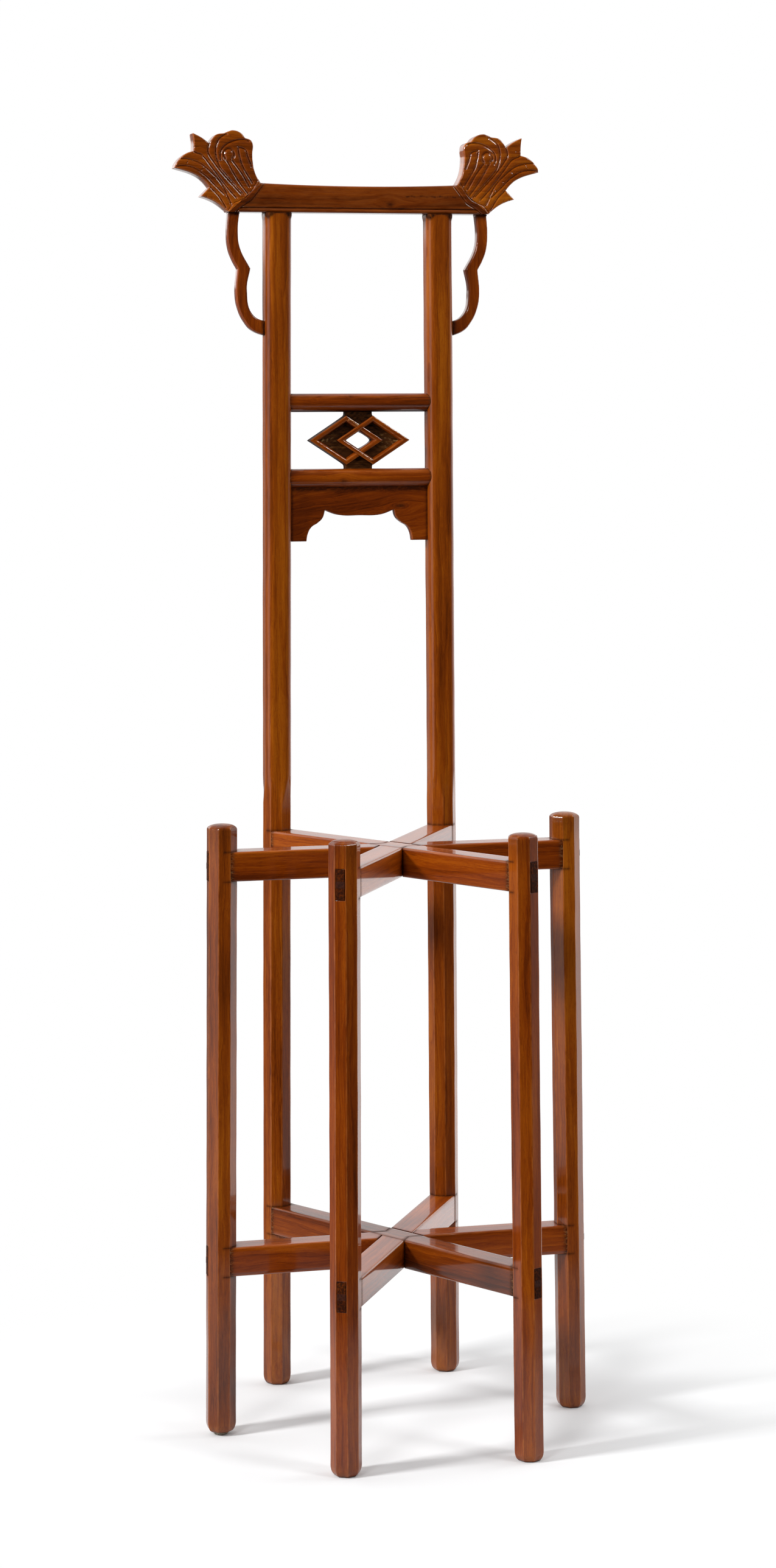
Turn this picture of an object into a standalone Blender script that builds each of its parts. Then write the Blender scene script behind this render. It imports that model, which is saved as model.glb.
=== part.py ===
"""Basin stand: six splayed legs, two tiers of crossed rails and a tall carved back.

Lengths are in metres. The floor is z = 0, the origin is the middle of the six feet,
and the tall back stands towards +Y.
"""
import math

import bmesh
import bpy
from mathutils import Matrix, Vector

# Clearance between pieces that touch, and how far a cutter runs past what it cuts.
GAP = 0.0003
CUT_OVERRUN = 0.006

# Legs and posts: octagons that lean towards the middle as they rise.
LEG_SPACING = math.radians(60)
FOOT_RADIUS = 0.225
INWARD_LEAN = 0.0127
LEG_WIDTH = 0.035
LEG_HEIGHT = 0.755
LEG_EDGE_RADIUS = 0.002
LEG_TOP_RADIUS = 0.0055
FOOT_INSET = 0.0065
FOOT_ROUND_HEIGHT = 0.013
END_ROUND_STEPS = 3
OCTAGON_CORNER_POINTS = 3

# Above the basin tier each post turns from an octagon into a soft square.
POST_WIDTH = 0.034
POST_CORNER_RADIUS = 0.011
POST_TOP_RADIUS = 0.0065
POST_SHAPING_START = LEG_HEIGHT + 0.002
POST_SHAPING_LENGTH = 0.034
SQUARE_CORNER_POINTS = 6

# Crossed rails, three to a tier, lapped through each other in the middle.
LEG_ABOVE_RAIL = 0.033
UPPER_RAIL_TOP = LEG_HEIGHT - LEG_ABOVE_RAIL
LOWER_RAIL_TOP = 0.236
RAIL_HEIGHT = 0.036
RAIL_WIDTH = 0.034
RAIL_EDGE_RADIUS = 0.0025
RAIL_EDGE_SEGMENTS = 2
TENON_WIDTH = 0.011
TENON_SHOULDER = 0.0004

# Wedges driven into the ends of the rail tenons.
WEDGE_LENGTH = 0.022
WEDGE_THICKNESS = 0.008
WEDGE_TIP = 0.002

# Pad under the left leg.
PAD_DIAMETER = 0.018
PAD_THICKNESS = 0.0038
PAD_SIDES = 20

# Crest rail: a bar with slanting ends, a bead along its lower front edge and raised collars.
CREST_UNDERSIDE = 1.494
CREST_HEIGHT = 0.0357
CREST_SAG = 0.0027
CREST_THICKNESS = 0.025
CREST_LOWER_LENGTH = 0.331
CREST_UPPER_LENGTH = 0.2504
CREST_EDGE_RADIUS = 0.003
BEAD_RADIUS = 0.0022
BEAD_PROUD = 0.0010
BEAD_SIDES = 12
BEAD_GROOVE_DEPTH = 0.0012
BEAD_GROOVE_WIDTH = 0.0018
COLLAR_WIDTH = 0.0095
COLLAR_PROUD = 0.0012

# Carved ends of the crest, seen from the front.
CARVED_END_LENGTH = 0.107
CARVED_END_HEIGHT = 0.0992
CARVED_END_THICKNESS = 0.025
CARVED_EDGE_RADIUS = 0.0015
KNOB_ACROSS_SHARE = 0.33
KNOB_UP_SHARE = 0.72
KNOB_RING_RADIUS = 0.0066
KNOB_GROOVE_RADIUS = 0.0016

# Brackets under the crest, outside the posts.
SPANDREL_REACH = 0.0462
SPANDREL_DROP = 0.152
SPANDREL_THICKNESS = 0.015
SPANDREL_EDGE_RADIUS = 0.003

# Cross rails between the posts, set down from the crest.
TOWEL_SPACE = 0.2229
FRET_SPACE = 0.0709
UPPER_CROSS_HEIGHT = 0.0230
LOWER_CROSS_HEIGHT = 0.0246
UPPER_CROSS_TOP = CREST_UNDERSIDE - TOWEL_SPACE
LOWER_CROSS_TOP = UPPER_CROSS_TOP - UPPER_CROSS_HEIGHT - FRET_SPACE
CROSS_RAIL_DEPTH = 0.028
CROSS_RAIL_RADIUS = 0.009
CROSS_RAIL_SEGMENTS = 4

# Fret between the cross rails: two interlaced diamonds on a pierced ground.
DIAMOND_WIDTH = 0.095
DIAMOND_HEIGHT = 0.0618
DIAMOND_OFFSET = 0.0172
BAND_ACROSS = 0.0126
FRET_GROUND_THICKNESS = 0.0125
FRET_BACK = 0.0100
BAND_FRONT = 0.0095
BAND_STEP = 0.0012
FRET_HOUSING = 0.004

# Apron under the lower cross rail.
APRON_DEPTH = 0.0662
APRON_THICKNESS = 0.012
APRON_HOUSING = 0.003
APRON_FOOT_WIDTH = 0.0195

# Blind tenons of the back.
POST_TENON = Vector((0.012, 0.010, 0.018))
CROSS_TENON = Vector((0.014, 0.010, 0.014))
BRACKET_FOOT_TENON = Vector((0.010, 0.007, 0.009))
BRACKET_HEAD_TENON = Vector((0.006, 0.008, 0.0035))
CREST_END_TENON = Vector((0.018, 0.009, 0.013))
TENON_ROOT = 0.004

WOOD_COLOUR = (0.235, 0.068, 0.014, 1.0)
DARK_WOOD_COLOUR = (0.060, 0.018, 0.008, 1.0)
PAD_COLOUR = (0.310, 0.285, 0.235, 1.0)

LEG_NAMES = (
    "right_leg",
    "rear_right_post",
    "rear_left_post",
    "left_leg",
    "front_left_leg",
    "front_right_leg",
)
POST_NAMES = ("rear_right_post", "rear_left_post")

# Rail runs, each turned one leg spacing from the last, from the lowest of the three laps up.
RAIL_RUNS = ("left_to_right", "front_left_to_rear_right", "rear_left_to_front_right")
TIERS = (("upper", UPPER_RAIL_TOP), ("lower", LOWER_RAIL_TOP))

# Right carved end: shares of its length and height, anticlockwise from the foot of the joint.
CARVED_END_SHARES = (
    (0.503, 0.104, "smooth"),
    (0.585, 0.149, "smooth"),
    (0.699, 0.190, "corner"),
    (0.596, 0.302, "corner"),
    (0.656, 0.375, "smooth"),
    (0.741, 0.442, "smooth"),
    (1.000, 0.534, "corner"),
    (0.982, 0.591, "smooth"),
    (0.873, 0.706, "smooth"),
    (0.778, 0.741, "corner"),
    (0.779, 0.847, "smooth"),
    (0.791, 0.961, "corner"),
    (0.685, 0.905, "smooth"),
    (0.599, 0.839, "corner"),
    (0.562, 0.895, "smooth"),
    (0.515, 0.944, "smooth"),
    (0.421, 0.963, "corner"),
    (0.372, 0.986, "smooth"),
    (0.318, 1.000, "smooth"),
    (0.220, 0.964, "smooth"),
    (0.174, 0.907, "corner"),
    (0.108, 0.879, "smooth"),
    (0.087, 0.837, "smooth"),
    (0.092, 0.708, "smooth"),
    (0.087, 0.610, "smooth"),
    (0.068, 0.504, "smooth"),
    (0.034, 0.418, "smooth"),
)

# Right bracket: shares of its reach from the post and of its drop below the crest.
BRACKET_SHARES = (
    (0.965, 0.000, "corner"),
    (1.000, 0.150, "smooth"),
    (0.963, 0.288, "smooth"),
    (0.859, 0.378, "smooth"),
    (0.723, 0.454, "corner"),
    (0.772, 0.654, "smooth"),
    (0.705, 0.776, "smooth"),
    (0.537, 0.882, "smooth"),
    (0.318, 0.954, "smooth"),
    (0.000, 1.010, "corner"),
    (0.000, 0.890, "corner"),
    (0.290, 0.829, "smooth"),
    (0.463, 0.625, "smooth"),
    (0.368, 0.451, "corner"),
    (0.649, 0.283, "smooth"),
    (0.701, 0.160, "smooth"),
    (0.656, 0.000, "corner"),
)

# Right half of the apron's lower edge: shares of its half width and of its depth.
APRON_SHARES = (
    (0.000, 0.517, "smooth"),
    (0.316, 0.502, "smooth"),
    (0.507, 0.414, "corner"),
    (0.540, 0.555, "smooth"),
    (0.612, 0.650, "smooth"),
    (0.706, 0.732, "smooth"),
    (0.758, 0.856, "smooth"),
)


def clear_scene():
    """Removes every object that the scene holds."""
    for scene_object in list(bpy.data.objects):
        bpy.data.objects.remove(scene_object, do_unlink=True)


def new_collection(name):
    """Adds a collection under the scene's own."""
    collection = bpy.data.collections.new(name)
    bpy.context.scene.collection.children.link(collection)
    return collection


def finish_material(name, colour, roughness):
    """Plain material of one piece."""
    material = bpy.data.materials.new(name)
    material.use_nodes = True
    shader = material.node_tree.nodes["Principled BSDF"]
    shader.inputs["Base Color"].default_value = colour
    shader.inputs["Roughness"].default_value = roughness
    shader.inputs["Metallic"].default_value = 0.0
    return material


def mesh_from(builder, name):
    """Turns a bmesh into a mesh with its faces pointing outwards."""
    bmesh.ops.recalc_face_normals(builder, faces=builder.faces)
    mesh = bpy.data.meshes.new(name)
    builder.to_mesh(mesh)
    builder.free()
    return mesh


def box_mesh(name, lowest, highest):
    """Box between two opposite corners."""
    builder = bmesh.new()
    bmesh.ops.create_cube(builder, size=1)
    size = Vector(highest) - Vector(lowest)
    middle = (Vector(highest) + Vector(lowest)) / 2
    bmesh.ops.transform(
        builder,
        matrix=Matrix.Translation(middle) @ Matrix.Diagonal(size).to_4x4(),
        verts=builder.verts,
    )
    return mesh_from(builder, name)


def rounded_bar_mesh(name, half_length, depth, low, high, radius, segments):
    """Bar along X whose long edges are rounded."""
    mesh = box_mesh(name, (-half_length, -depth / 2, low), (half_length, depth / 2, high))
    builder = bmesh.new()
    builder.from_mesh(mesh)
    long_edges = [
        edge for edge in builder.edges
        if abs((edge.verts[0].co - edge.verts[1].co).x) > half_length
    ]
    bmesh.ops.bevel(
        builder, geom=long_edges, offset=radius, segments=segments, profile=0.5, affect="EDGES"
    )
    bpy.data.meshes.remove(mesh)
    return mesh_from(builder, name)


def rounded_polygon(corners, width, corner_radius, turn, corner_points):
    """Plan points of a regular polygon with rounded corners; width is across its flats."""
    points = []
    corner_reach = (width / 2 - corner_radius) / math.cos(math.pi / corners)
    for corner in range(corners):
        direction = turn + (2 * corner + 1) * math.pi / corners
        for step in range(corner_points):
            sweep = (step / (corner_points - 1) - 0.5) * 2 * math.pi / corners
            x = corner_reach * math.cos(direction) + corner_radius * math.cos(direction + sweep)
            y = corner_reach * math.sin(direction) + corner_radius * math.sin(direction + sweep)
            points.append((x, y))
    return points


def octagon_ring(z, inset, turn=-math.pi / 4):
    """Level ring of a leg, drawn in by inset."""
    width = LEG_WIDTH - 2 * inset
    radius = LEG_EDGE_RADIUS * width / LEG_WIDTH
    plan = rounded_polygon(8, width, radius, turn, OCTAGON_CORNER_POINTS)
    return [Vector((x, y, z)) for x, y in plan]


def square_ring(z, inset, turn):
    """Level ring of a post's upper part, drawn in by inset."""
    width = POST_WIDTH - 2 * inset
    radius = POST_CORNER_RADIUS * width / POST_WIDTH
    plan = rounded_polygon(4, width, radius, turn, SQUARE_CORNER_POINTS)
    return [Vector((x, y, z)) for x, y in plan]


def rounded_end(ring, z, side, draw_in, height, inset):
    """Rings from a flat end at z to the full shaft; side is 1 upwards and -1 downwards."""
    rings = []
    for step in range(END_ROUND_STEPS + 1):
        turn = math.pi / 2 * step / END_ROUND_STEPS
        rise = height * (1 - math.cos(turn))
        rings.append(ring(z + side * rise, inset + draw_in * (1 - math.sin(turn))))
    return rings


def foot_rings(level, grow):
    """Rings of the rounded foot of a leg or post."""
    return rounded_end(octagon_ring, level, 1, FOOT_INSET, FOOT_ROUND_HEIGHT, -grow)


def top_rings(ring, level, radius, grow):
    """Rings of the rounded top of a leg or post, upwards."""
    return reversed(rounded_end(ring, level, -1, radius, radius, -grow))


def loft_mesh(name, rings):
    """Solid through a stack of rings that have as many points each."""
    builder = bmesh.new()
    loops = [[builder.verts.new(point) for point in ring] for ring in rings]
    count = len(loops[0])
    for lower, upper in zip(loops, loops[1:]):
        for index in range(count):
            after = (index + 1) % count
            builder.faces.new((lower[index], lower[after], upper[after], upper[index]))
    builder.faces.new(list(reversed(loops[0])))
    builder.faces.new(loops[-1])
    return mesh_from(builder, name)


def outline_mesh(name, outlines, thickness):
    """Flat piece standing in the XZ plane, from closed outlines of (x, z, kind) points."""
    curve = bpy.data.curves.new(name, "CURVE")
    curve.dimensions = "2D"
    curve.fill_mode = "BOTH"
    curve.extrude = thickness / 2
    curve.resolution_u = 3
    curve.render_resolution_u = 3
    for outline in outlines:
        spline = curve.splines.new("BEZIER")
        spline.bezier_points.add(len(outline) - 1)
        spline.use_cyclic_u = True
        for point, (x, z, kind) in zip(spline.bezier_points, outline):
            point.co = (x, z, 0)
            handle = "VECTOR" if kind == "corner" else "AUTO"
            point.handle_left_type = handle
            point.handle_right_type = handle
    drawing = bpy.data.objects.new(name, curve)
    bpy.context.scene.collection.objects.link(drawing)
    bpy.context.view_layer.update()
    evaluated = drawing.evaluated_get(bpy.context.evaluated_depsgraph_get())
    flat = bpy.data.meshes.new_from_object(evaluated)
    bpy.data.objects.remove(drawing)
    bpy.data.curves.remove(curve)
    builder = bmesh.new()
    builder.from_mesh(flat)
    bpy.data.meshes.remove(flat)
    bmesh.ops.remove_doubles(builder, verts=builder.verts, dist=GAP / 10)
    bmesh.ops.dissolve_limit(
        builder, angle_limit=math.radians(1), verts=builder.verts, edges=builder.edges
    )
    bmesh.ops.transform(builder, matrix=Matrix.Rotation(math.pi / 2, 4, "X"), verts=builder.verts)
    return mesh_from(builder, name)


def round_rims(mesh, radius, segments, keep_edge=None):
    """Rounds the front and back rims of an upright flat piece."""
    builder = bmesh.new()
    builder.from_mesh(mesh)
    rims = []
    for edge in builder.edges:
        ends = [vert.co for vert in edge.verts]
        level = abs(ends[0].y - ends[1].y) < GAP / 10
        turns = len(edge.link_faces) == 2 and edge.calc_face_angle() > math.radians(60)
        if level and turns and not (keep_edge and keep_edge(ends)):
            rims.append(edge)
    bmesh.ops.bevel(
        builder, geom=rims, offset=radius, segments=segments, profile=0.5, affect="EDGES",
        clamp_overlap=True,
    )
    bmesh.ops.recalc_face_normals(builder, faces=builder.faces)
    builder.to_mesh(mesh)
    builder.free()


def mirrored(mesh, name):
    """Copy of a mesh on the other side of the stand's middle plane."""
    copy = mesh.copy()
    copy.name = name
    copy.transform(Matrix.Diagonal((-1, 1, 1, 1)))
    copy.flip_normals()
    return copy


def lean_back_frame(mesh):
    """Moves an upright piece into the plane of the two leaning posts."""
    lean = Matrix.Identity(4)
    lean[1][2] = -INWARD_LEAN * math.sin(LEG_SPACING)
    lean[1][3] = FOOT_RADIUS * math.sin(LEG_SPACING)
    mesh.transform(lean)
    return mesh


def post_offset(z):
    """Distance of a post's centre line from the stand's middle plane."""
    return (FOOT_RADIUS - INWARD_LEAN * z) * math.cos(LEG_SPACING)


def leg_offset(z):
    """Distance of a leg's centre line from the stand's middle."""
    return FOOT_RADIUS - INWARD_LEAN * z


class Stand:
    """Collects the stand's pieces and the hidden cutters that shape their joints."""

    def __init__(self):
        self.pieces = new_collection("basin_stand")
        self.cutters = new_collection("stand_cutters")
        self.cutters.hide_render = True

    def add(self, name, mesh, colour=WOOD_COLOUR, roughness=0.28):
        """Adds a piece with a material of its own."""
        piece = bpy.data.objects.new(name, mesh)
        mesh.materials.clear()
        mesh.materials.append(finish_material(name + "_finish", colour, roughness))
        self.pieces.objects.link(piece)
        return piece

    def tool(self, name, mesh):
        """Adds a shape that only cuts or joins."""
        shape = bpy.data.objects.new(name, mesh)
        shape.hide_render = True
        shape.display_type = "WIRE"
        self.cutters.objects.link(shape)
        return shape

    def piece(self, name):
        """Finds a piece by its name."""
        return self.pieces.objects[name]


def combine(piece, tool, operation):
    """Cuts the tool out of the piece, or joins it on."""
    step = piece.modifiers.new(tool.name, "BOOLEAN")
    step.operation = operation
    step.solver = "EXACT"
    step.object = tool


def cut(piece, tool):
    """Takes the tool's shape out of the piece."""
    combine(piece, tool, "DIFFERENCE")


def join(piece, tool):
    """Makes the tool's shape one with the piece."""
    combine(piece, tool, "UNION")


def add_back_tenon(stand, name, piece, mates, middle, size):
    """Joins a tenon to a piece of the back and cuts its mortise in each mate."""
    half = size / 2
    clear = half + Vector((GAP, GAP, GAP))
    tenon = box_mesh(name, middle - half, middle + half)
    mortise = box_mesh(name + "_mortise", middle - clear, middle + clear)
    join(piece, stand.tool(name, lean_back_frame(tenon)))
    mortise_tool = stand.tool(name + "_mortise", lean_back_frame(mortise))
    for mate in mates:
        cut(mate, mortise_tool)


def leg_mesh(name, foot_level, rounded=True, grow=0.0):
    """Leg in its own frame: local X points away from the stand's middle."""
    if rounded:
        rings = foot_rings(foot_level, grow)
        rings += top_rings(octagon_ring, LEG_HEIGHT, LEG_TOP_RADIUS, grow)
    else:
        rings = [
            octagon_ring(foot_level - CUT_OVERRUN, -grow),
            octagon_ring(LEG_HEIGHT + CUT_OVERRUN, -grow),
        ]
    return lean_leg(loft_mesh(name, rings))


def post_mesh(name, angle, rounded=True, grow=0.0):
    """Post in its own frame, an octagon below and square with the back above."""
    quarter = math.pi / 2
    turn = quarter * math.floor(angle / quarter) - angle
    top = CREST_UNDERSIDE - GAP

    def upper_ring(z, inset):
        return square_ring(z, inset, turn)

    shaping_end = POST_SHAPING_START + POST_SHAPING_LENGTH
    if rounded:
        rings = foot_rings(0, grow)
    else:
        rings = [octagon_ring(-CUT_OVERRUN, -grow)]
    rings += [octagon_ring(POST_SHAPING_START, -grow), upper_ring(shaping_end, -grow)]
    if rounded:
        rings += top_rings(upper_ring, top, POST_TOP_RADIUS, grow)
    else:
        rings += [upper_ring(top + CUT_OVERRUN, -grow)]
    return lean_leg(loft_mesh(name, rings))


def lean_leg(mesh):
    """Shears an upright leg so that it leans towards the stand's middle."""
    lean = Matrix.Identity(4)
    lean[0][2] = -INWARD_LEAN
    mesh.transform(lean)
    return mesh


def make_legs(stand):
    """Four short legs and two tall posts, with the shapes that clear them."""
    clearances = {}
    for index, name in enumerate(LEG_NAMES):
        angle = index * LEG_SPACING
        if name in POST_NAMES:
            mesh = post_mesh(name, angle)
            clear_mesh = post_mesh(name + "_clearance", angle, rounded=False, grow=GAP)
        else:
            foot_level = PAD_THICKNESS + GAP if name == "left_leg" else 0.0
            mesh = leg_mesh(name, foot_level)
            clear_mesh = leg_mesh(name + "_clearance", foot_level, rounded=False, grow=GAP)
        place = Matrix.Rotation(angle, 4, "Z") @ Matrix.Translation((FOOT_RADIUS, 0, 0))
        stand.add(name, mesh).matrix_world = place
        clearances[name] = stand.tool(name + "_clearance", clear_mesh)
        clearances[name].matrix_world = place
    return clearances


def tenon_bar_mesh(name, top, grow):
    """Bar through both legs of a rail run, its ends flush with the legs' outer flats."""
    low = top - RAIL_HEIGHT + TENON_SHOULDER - grow
    high = top - TENON_SHOULDER + grow
    half = TENON_WIDTH / 2 + grow
    run_out = CUT_OVERRUN if grow else 0.0
    mesh = box_mesh(name, (-leg_offset(high), -half, low), (leg_offset(high), half, high))
    for vertex in mesh.vertices:
        reach = leg_offset(vertex.co.z) + LEG_WIDTH / 2 + run_out
        vertex.co.x = math.copysign(reach, vertex.co.x)
    return mesh


def lap_cutters(stand, tier, top, layer):
    """Prisms along the other two runs that leave one layer of this rail in the middle."""
    cutters = []
    layer_height = RAIL_HEIGHT / len(RAIL_RUNS)
    bottom = top - RAIL_HEIGHT
    half_width = RAIL_WIDTH / 2 + GAP
    half_length = 2 * RAIL_WIDTH
    for other_layer, other_run in enumerate(RAIL_RUNS):
        if other_layer == layer:
            continue
        meeting = bottom + max(layer, other_layer) * layer_height
        if other_layer > layer:
            low, high = meeting - GAP / 2, top + CUT_OVERRUN
        else:
            low, high = bottom - CUT_OVERRUN, meeting + GAP / 2
        name = f"{tier}_lap_{layer}_for_{other_run}"
        mesh = box_mesh(name, (-half_length, -half_width, low), (half_length, half_width, high))
        mesh.transform(Matrix.Rotation(other_layer * LEG_SPACING, 4, "Z"))
        cutters.append(stand.tool(name, mesh))
    return cutters


def wedge_mesh(name, top, side, grow):
    """Tapered wedge in the middle of a tenon's end; side is 1 or -1 along the rail."""
    middle = top - RAIL_HEIGHT / 2
    outer = leg_offset(middle) + LEG_WIDTH / 2
    run_out = CUT_OVERRUN if grow else 0.0
    taper = (WEDGE_THICKNESS - WEDGE_TIP) / 2 / WEDGE_LENGTH
    half = TENON_WIDTH / 2 + (CUT_OVERRUN if grow else 0.0)
    near = outer - WEDGE_LENGTH - grow
    mesh = box_mesh(name, (near, -half, middle - half), (outer + run_out, half, middle + half))
    for vertex in mesh.vertices:
        into_wood = outer - vertex.co.x
        half_thickness = WEDGE_THICKNESS / 2 - taper * into_wood + grow
        vertex.co.z = middle + math.copysign(half_thickness, vertex.co.z - middle)
    if side < 0:
        mesh.transform(Matrix.Rotation(math.pi, 4, "Z"))
    return mesh


def make_rails(stand, clearances):
    """Two tiers of three rails, with their laps, coped shoulders, tenons and wedges."""
    for tier, top in TIERS:
        bottom = top - RAIL_HEIGHT
        for layer, run in enumerate(RAIL_RUNS):
            turn = Matrix.Rotation(layer * LEG_SPACING, 4, "Z")
            name = f"{tier}_rail_{run}"
            half_length = leg_offset(top)
            mesh = rounded_bar_mesh(
                name, half_length, RAIL_WIDTH, bottom, top, RAIL_EDGE_RADIUS, RAIL_EDGE_SEGMENTS
            )
            rail = stand.add(name, mesh)
            rail.matrix_world = turn
            end_names = (LEG_NAMES[layer], LEG_NAMES[layer + len(RAIL_RUNS)])
            for end_name in end_names:
                cut(rail, clearances[end_name])
            bar = stand.tool(name + "_tenons", tenon_bar_mesh(name + "_tenons", top, 0.0))
            bar.matrix_world = turn
            join(rail, bar)
            mortises = stand.tool(name + "_mortises", tenon_bar_mesh(name + "_mortises", top, GAP))
            mortises.matrix_world = turn
            for end_name in end_names:
                cut(stand.piece(end_name), mortises)
            for cutter in lap_cutters(stand, tier, top, layer):
                cut(rail, cutter)
            for side, end_name in zip((1, -1), end_names):
                wedge_name = f"{end_name}_{tier}_wedge"
                wedge = stand.add(
                    wedge_name, wedge_mesh(wedge_name, top, side, 0.0), DARK_WOOD_COLOUR, 0.5
                )
                kerf_name = wedge_name + "_kerf"
                kerf = stand.tool(kerf_name, wedge_mesh(kerf_name, top, side, GAP))
                wedge.matrix_world = turn
                kerf.matrix_world = turn
                cut(rail, kerf)


def make_foot_pad(stand):
    """Round pad that levels the left leg."""
    builder = bmesh.new()
    bmesh.ops.create_cone(
        builder,
        cap_ends=True,
        segments=PAD_SIDES,
        radius1=PAD_DIAMETER / 2,
        radius2=PAD_DIAMETER / 2,
        depth=PAD_THICKNESS,
        matrix=Matrix.Translation((-FOOT_RADIUS, 0, PAD_THICKNESS / 2)),
    )
    stand.add("foot_pad", mesh_from(builder, "foot_pad"), PAD_COLOUR, 0.9)


def crest_end_slope():
    """How far the slanting end of the crest runs outwards for each unit that it drops."""
    return (CREST_LOWER_LENGTH - CREST_UPPER_LENGTH) / 2 / CREST_HEIGHT


def make_crest_rail(stand):
    """Crest bar with its bead, groove, collars and the mortises for the posts."""
    lower = CREST_LOWER_LENGTH / 2
    upper = CREST_UPPER_LENGTH / 2
    low = CREST_UNDERSIDE
    high = CREST_UNDERSIDE + CREST_HEIGHT
    outline = (
        (-lower, low, "corner"),
        (lower, low, "corner"),
        (upper, high, "corner"),
        (0, high - CREST_SAG, "smooth"),
        (-upper, high, "corner"),
    )
    mesh = outline_mesh("crest_rail", [outline], CREST_THICKNESS)
    round_rims(
        mesh,
        CREST_EDGE_RADIUS,
        RAIL_EDGE_SEGMENTS,
        keep_edge=lambda ends: min(end.z for end in ends) < high - CREST_SAG - GAP,
    )
    crest = stand.add("crest_rail", lean_back_frame(mesh))
    add_crest_bead(stand, crest)
    add_crest_collars(stand, crest)
    for side in (1, -1):
        middle = Vector((side * post_offset(CREST_UNDERSIDE), 0, low))
        name = "rear_right_post" if side > 0 else "rear_left_post"
        middle.z += POST_TENON.z / 2 - TENON_ROOT / 2
        size = POST_TENON + Vector((0, 0, TENON_ROOT))
        add_back_tenon(stand, name + "_tenon", stand.piece(name), [crest], middle, size)
    return crest


def add_crest_bead(stand, crest):
    """Cuts the groove and joins the bead along the crest's lower front edge."""
    front = -CREST_THICKNESS / 2
    bead_height = CREST_UNDERSIDE + BEAD_RADIUS
    groove_low = bead_height + BEAD_RADIUS
    half_run = CREST_LOWER_LENGTH / 2 - crest_end_slope() * (groove_low - CREST_UNDERSIDE)
    groove = box_mesh(
        "crest_groove",
        (-half_run, front - CUT_OVERRUN, groove_low),
        (half_run, front + BEAD_GROOVE_DEPTH, groove_low + BEAD_GROOVE_WIDTH),
    )
    cut(crest, stand.tool("crest_groove", lean_back_frame(groove)))
    builder = bmesh.new()
    place = Matrix.Translation((0, front + BEAD_RADIUS - BEAD_PROUD, bead_height + GAP))
    bmesh.ops.create_cone(
        builder,
        cap_ends=True,
        segments=BEAD_SIDES,
        radius1=BEAD_RADIUS,
        radius2=BEAD_RADIUS,
        depth=2 * half_run - COLLAR_WIDTH,
        matrix=place @ Matrix.Rotation(math.pi / 2, 4, "Y"),
    )
    bead = mesh_from(builder, "crest_bead")
    join(crest, stand.tool("crest_bead", lean_back_frame(bead)))


def add_crest_collars(stand, crest):
    """Joins a raised slanting band to the front of each end of the crest."""
    slope = crest_end_slope()
    low = CREST_UNDERSIDE + GAP
    high = CREST_UNDERSIDE + CREST_HEIGHT - CREST_EDGE_RADIUS
    outer_low = CREST_LOWER_LENGTH / 2 - slope * (low - CREST_UNDERSIDE) - GAP
    outer_high = CREST_LOWER_LENGTH / 2 - slope * (high - CREST_UNDERSIDE) - GAP
    outline = (
        (outer_low - COLLAR_WIDTH, low, "corner"),
        (outer_low, low, "corner"),
        (outer_high, high, "corner"),
        (outer_high - COLLAR_WIDTH, high, "corner"),
    )
    right = outline_mesh("right_collar", [outline], CREST_THICKNESS)
    right.transform(Matrix.Translation((0, -COLLAR_PROUD, 0)))
    left = mirrored(right, "left_collar")
    join(crest, stand.tool("right_collar", lean_back_frame(right)))
    join(crest, stand.tool("left_collar", lean_back_frame(left)))


def make_carved_ends(stand, crest):
    """Carved leaf scrolls on both ends of the crest, held by a tenon of the crest."""
    lower = CREST_LOWER_LENGTH / 2
    upper = CREST_UPPER_LENGTH / 2
    slant = math.hypot(lower - upper, CREST_HEIGHT)
    shift = GAP * slant / CREST_HEIGHT
    outline = [(lower + shift, CREST_UNDERSIDE, "corner")]
    for across, up, kind in CARVED_END_SHARES:
        x = upper + shift + across * CARVED_END_LENGTH
        z = CREST_UNDERSIDE + up * CARVED_END_HEIGHT
        outline.append((x, z, kind))
    outline.append((upper + shift, CREST_UNDERSIDE + CREST_HEIGHT, "corner"))
    right = outline_mesh("right_carved_end", [outline], CARVED_END_THICKNESS)
    slope = crest_end_slope()

    def on_joint(ends):
        return all(
            abs(lower + shift - slope * (end.z - CREST_UNDERSIDE) - end.x) < GAP for end in ends
        )

    round_rims(right, CARVED_EDGE_RADIUS, RAIL_EDGE_SEGMENTS, keep_edge=on_joint)
    left = mirrored(right, "left_carved_end")
    for side, mesh in ((1, right), (-1, left)):
        word = "right" if side > 0 else "left"
        carved = stand.add(word + "_carved_end", lean_back_frame(mesh))
        cut(carved, knob_ring(stand, side, word))
        height = CREST_UNDERSIDE + CREST_HEIGHT / 2
        start = (lower + upper) / 2
        middle = Vector((side * (start + (CREST_END_TENON.x - TENON_ROOT) / 2), 0, height))
        size = CREST_END_TENON + Vector((TENON_ROOT, 0, 0))
        add_back_tenon(stand, word + "_crest_tenon", crest, [carved], middle, size)


def knob_ring(stand, side, word):
    """Ring-shaped cutter that leaves a round knob on the front of a carved end."""
    across = CREST_UPPER_LENGTH / 2 + KNOB_ACROSS_SHARE * CARVED_END_LENGTH
    height = CREST_UNDERSIDE + KNOB_UP_SHARE * CARVED_END_HEIGHT
    bpy.ops.mesh.primitive_torus_add(
        major_segments=20,
        minor_segments=6,
        major_radius=KNOB_RING_RADIUS,
        minor_radius=KNOB_GROOVE_RADIUS,
    )
    ring = bpy.context.object
    mesh = ring.data
    bpy.data.objects.remove(ring)
    mesh.transform(Matrix.Rotation(math.pi / 2, 4, "X"))
    mesh.transform(Matrix.Translation((side * across, -CARVED_END_THICKNESS / 2, height)))
    return stand.tool(word + "_knob_ring", lean_back_frame(mesh))


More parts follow.
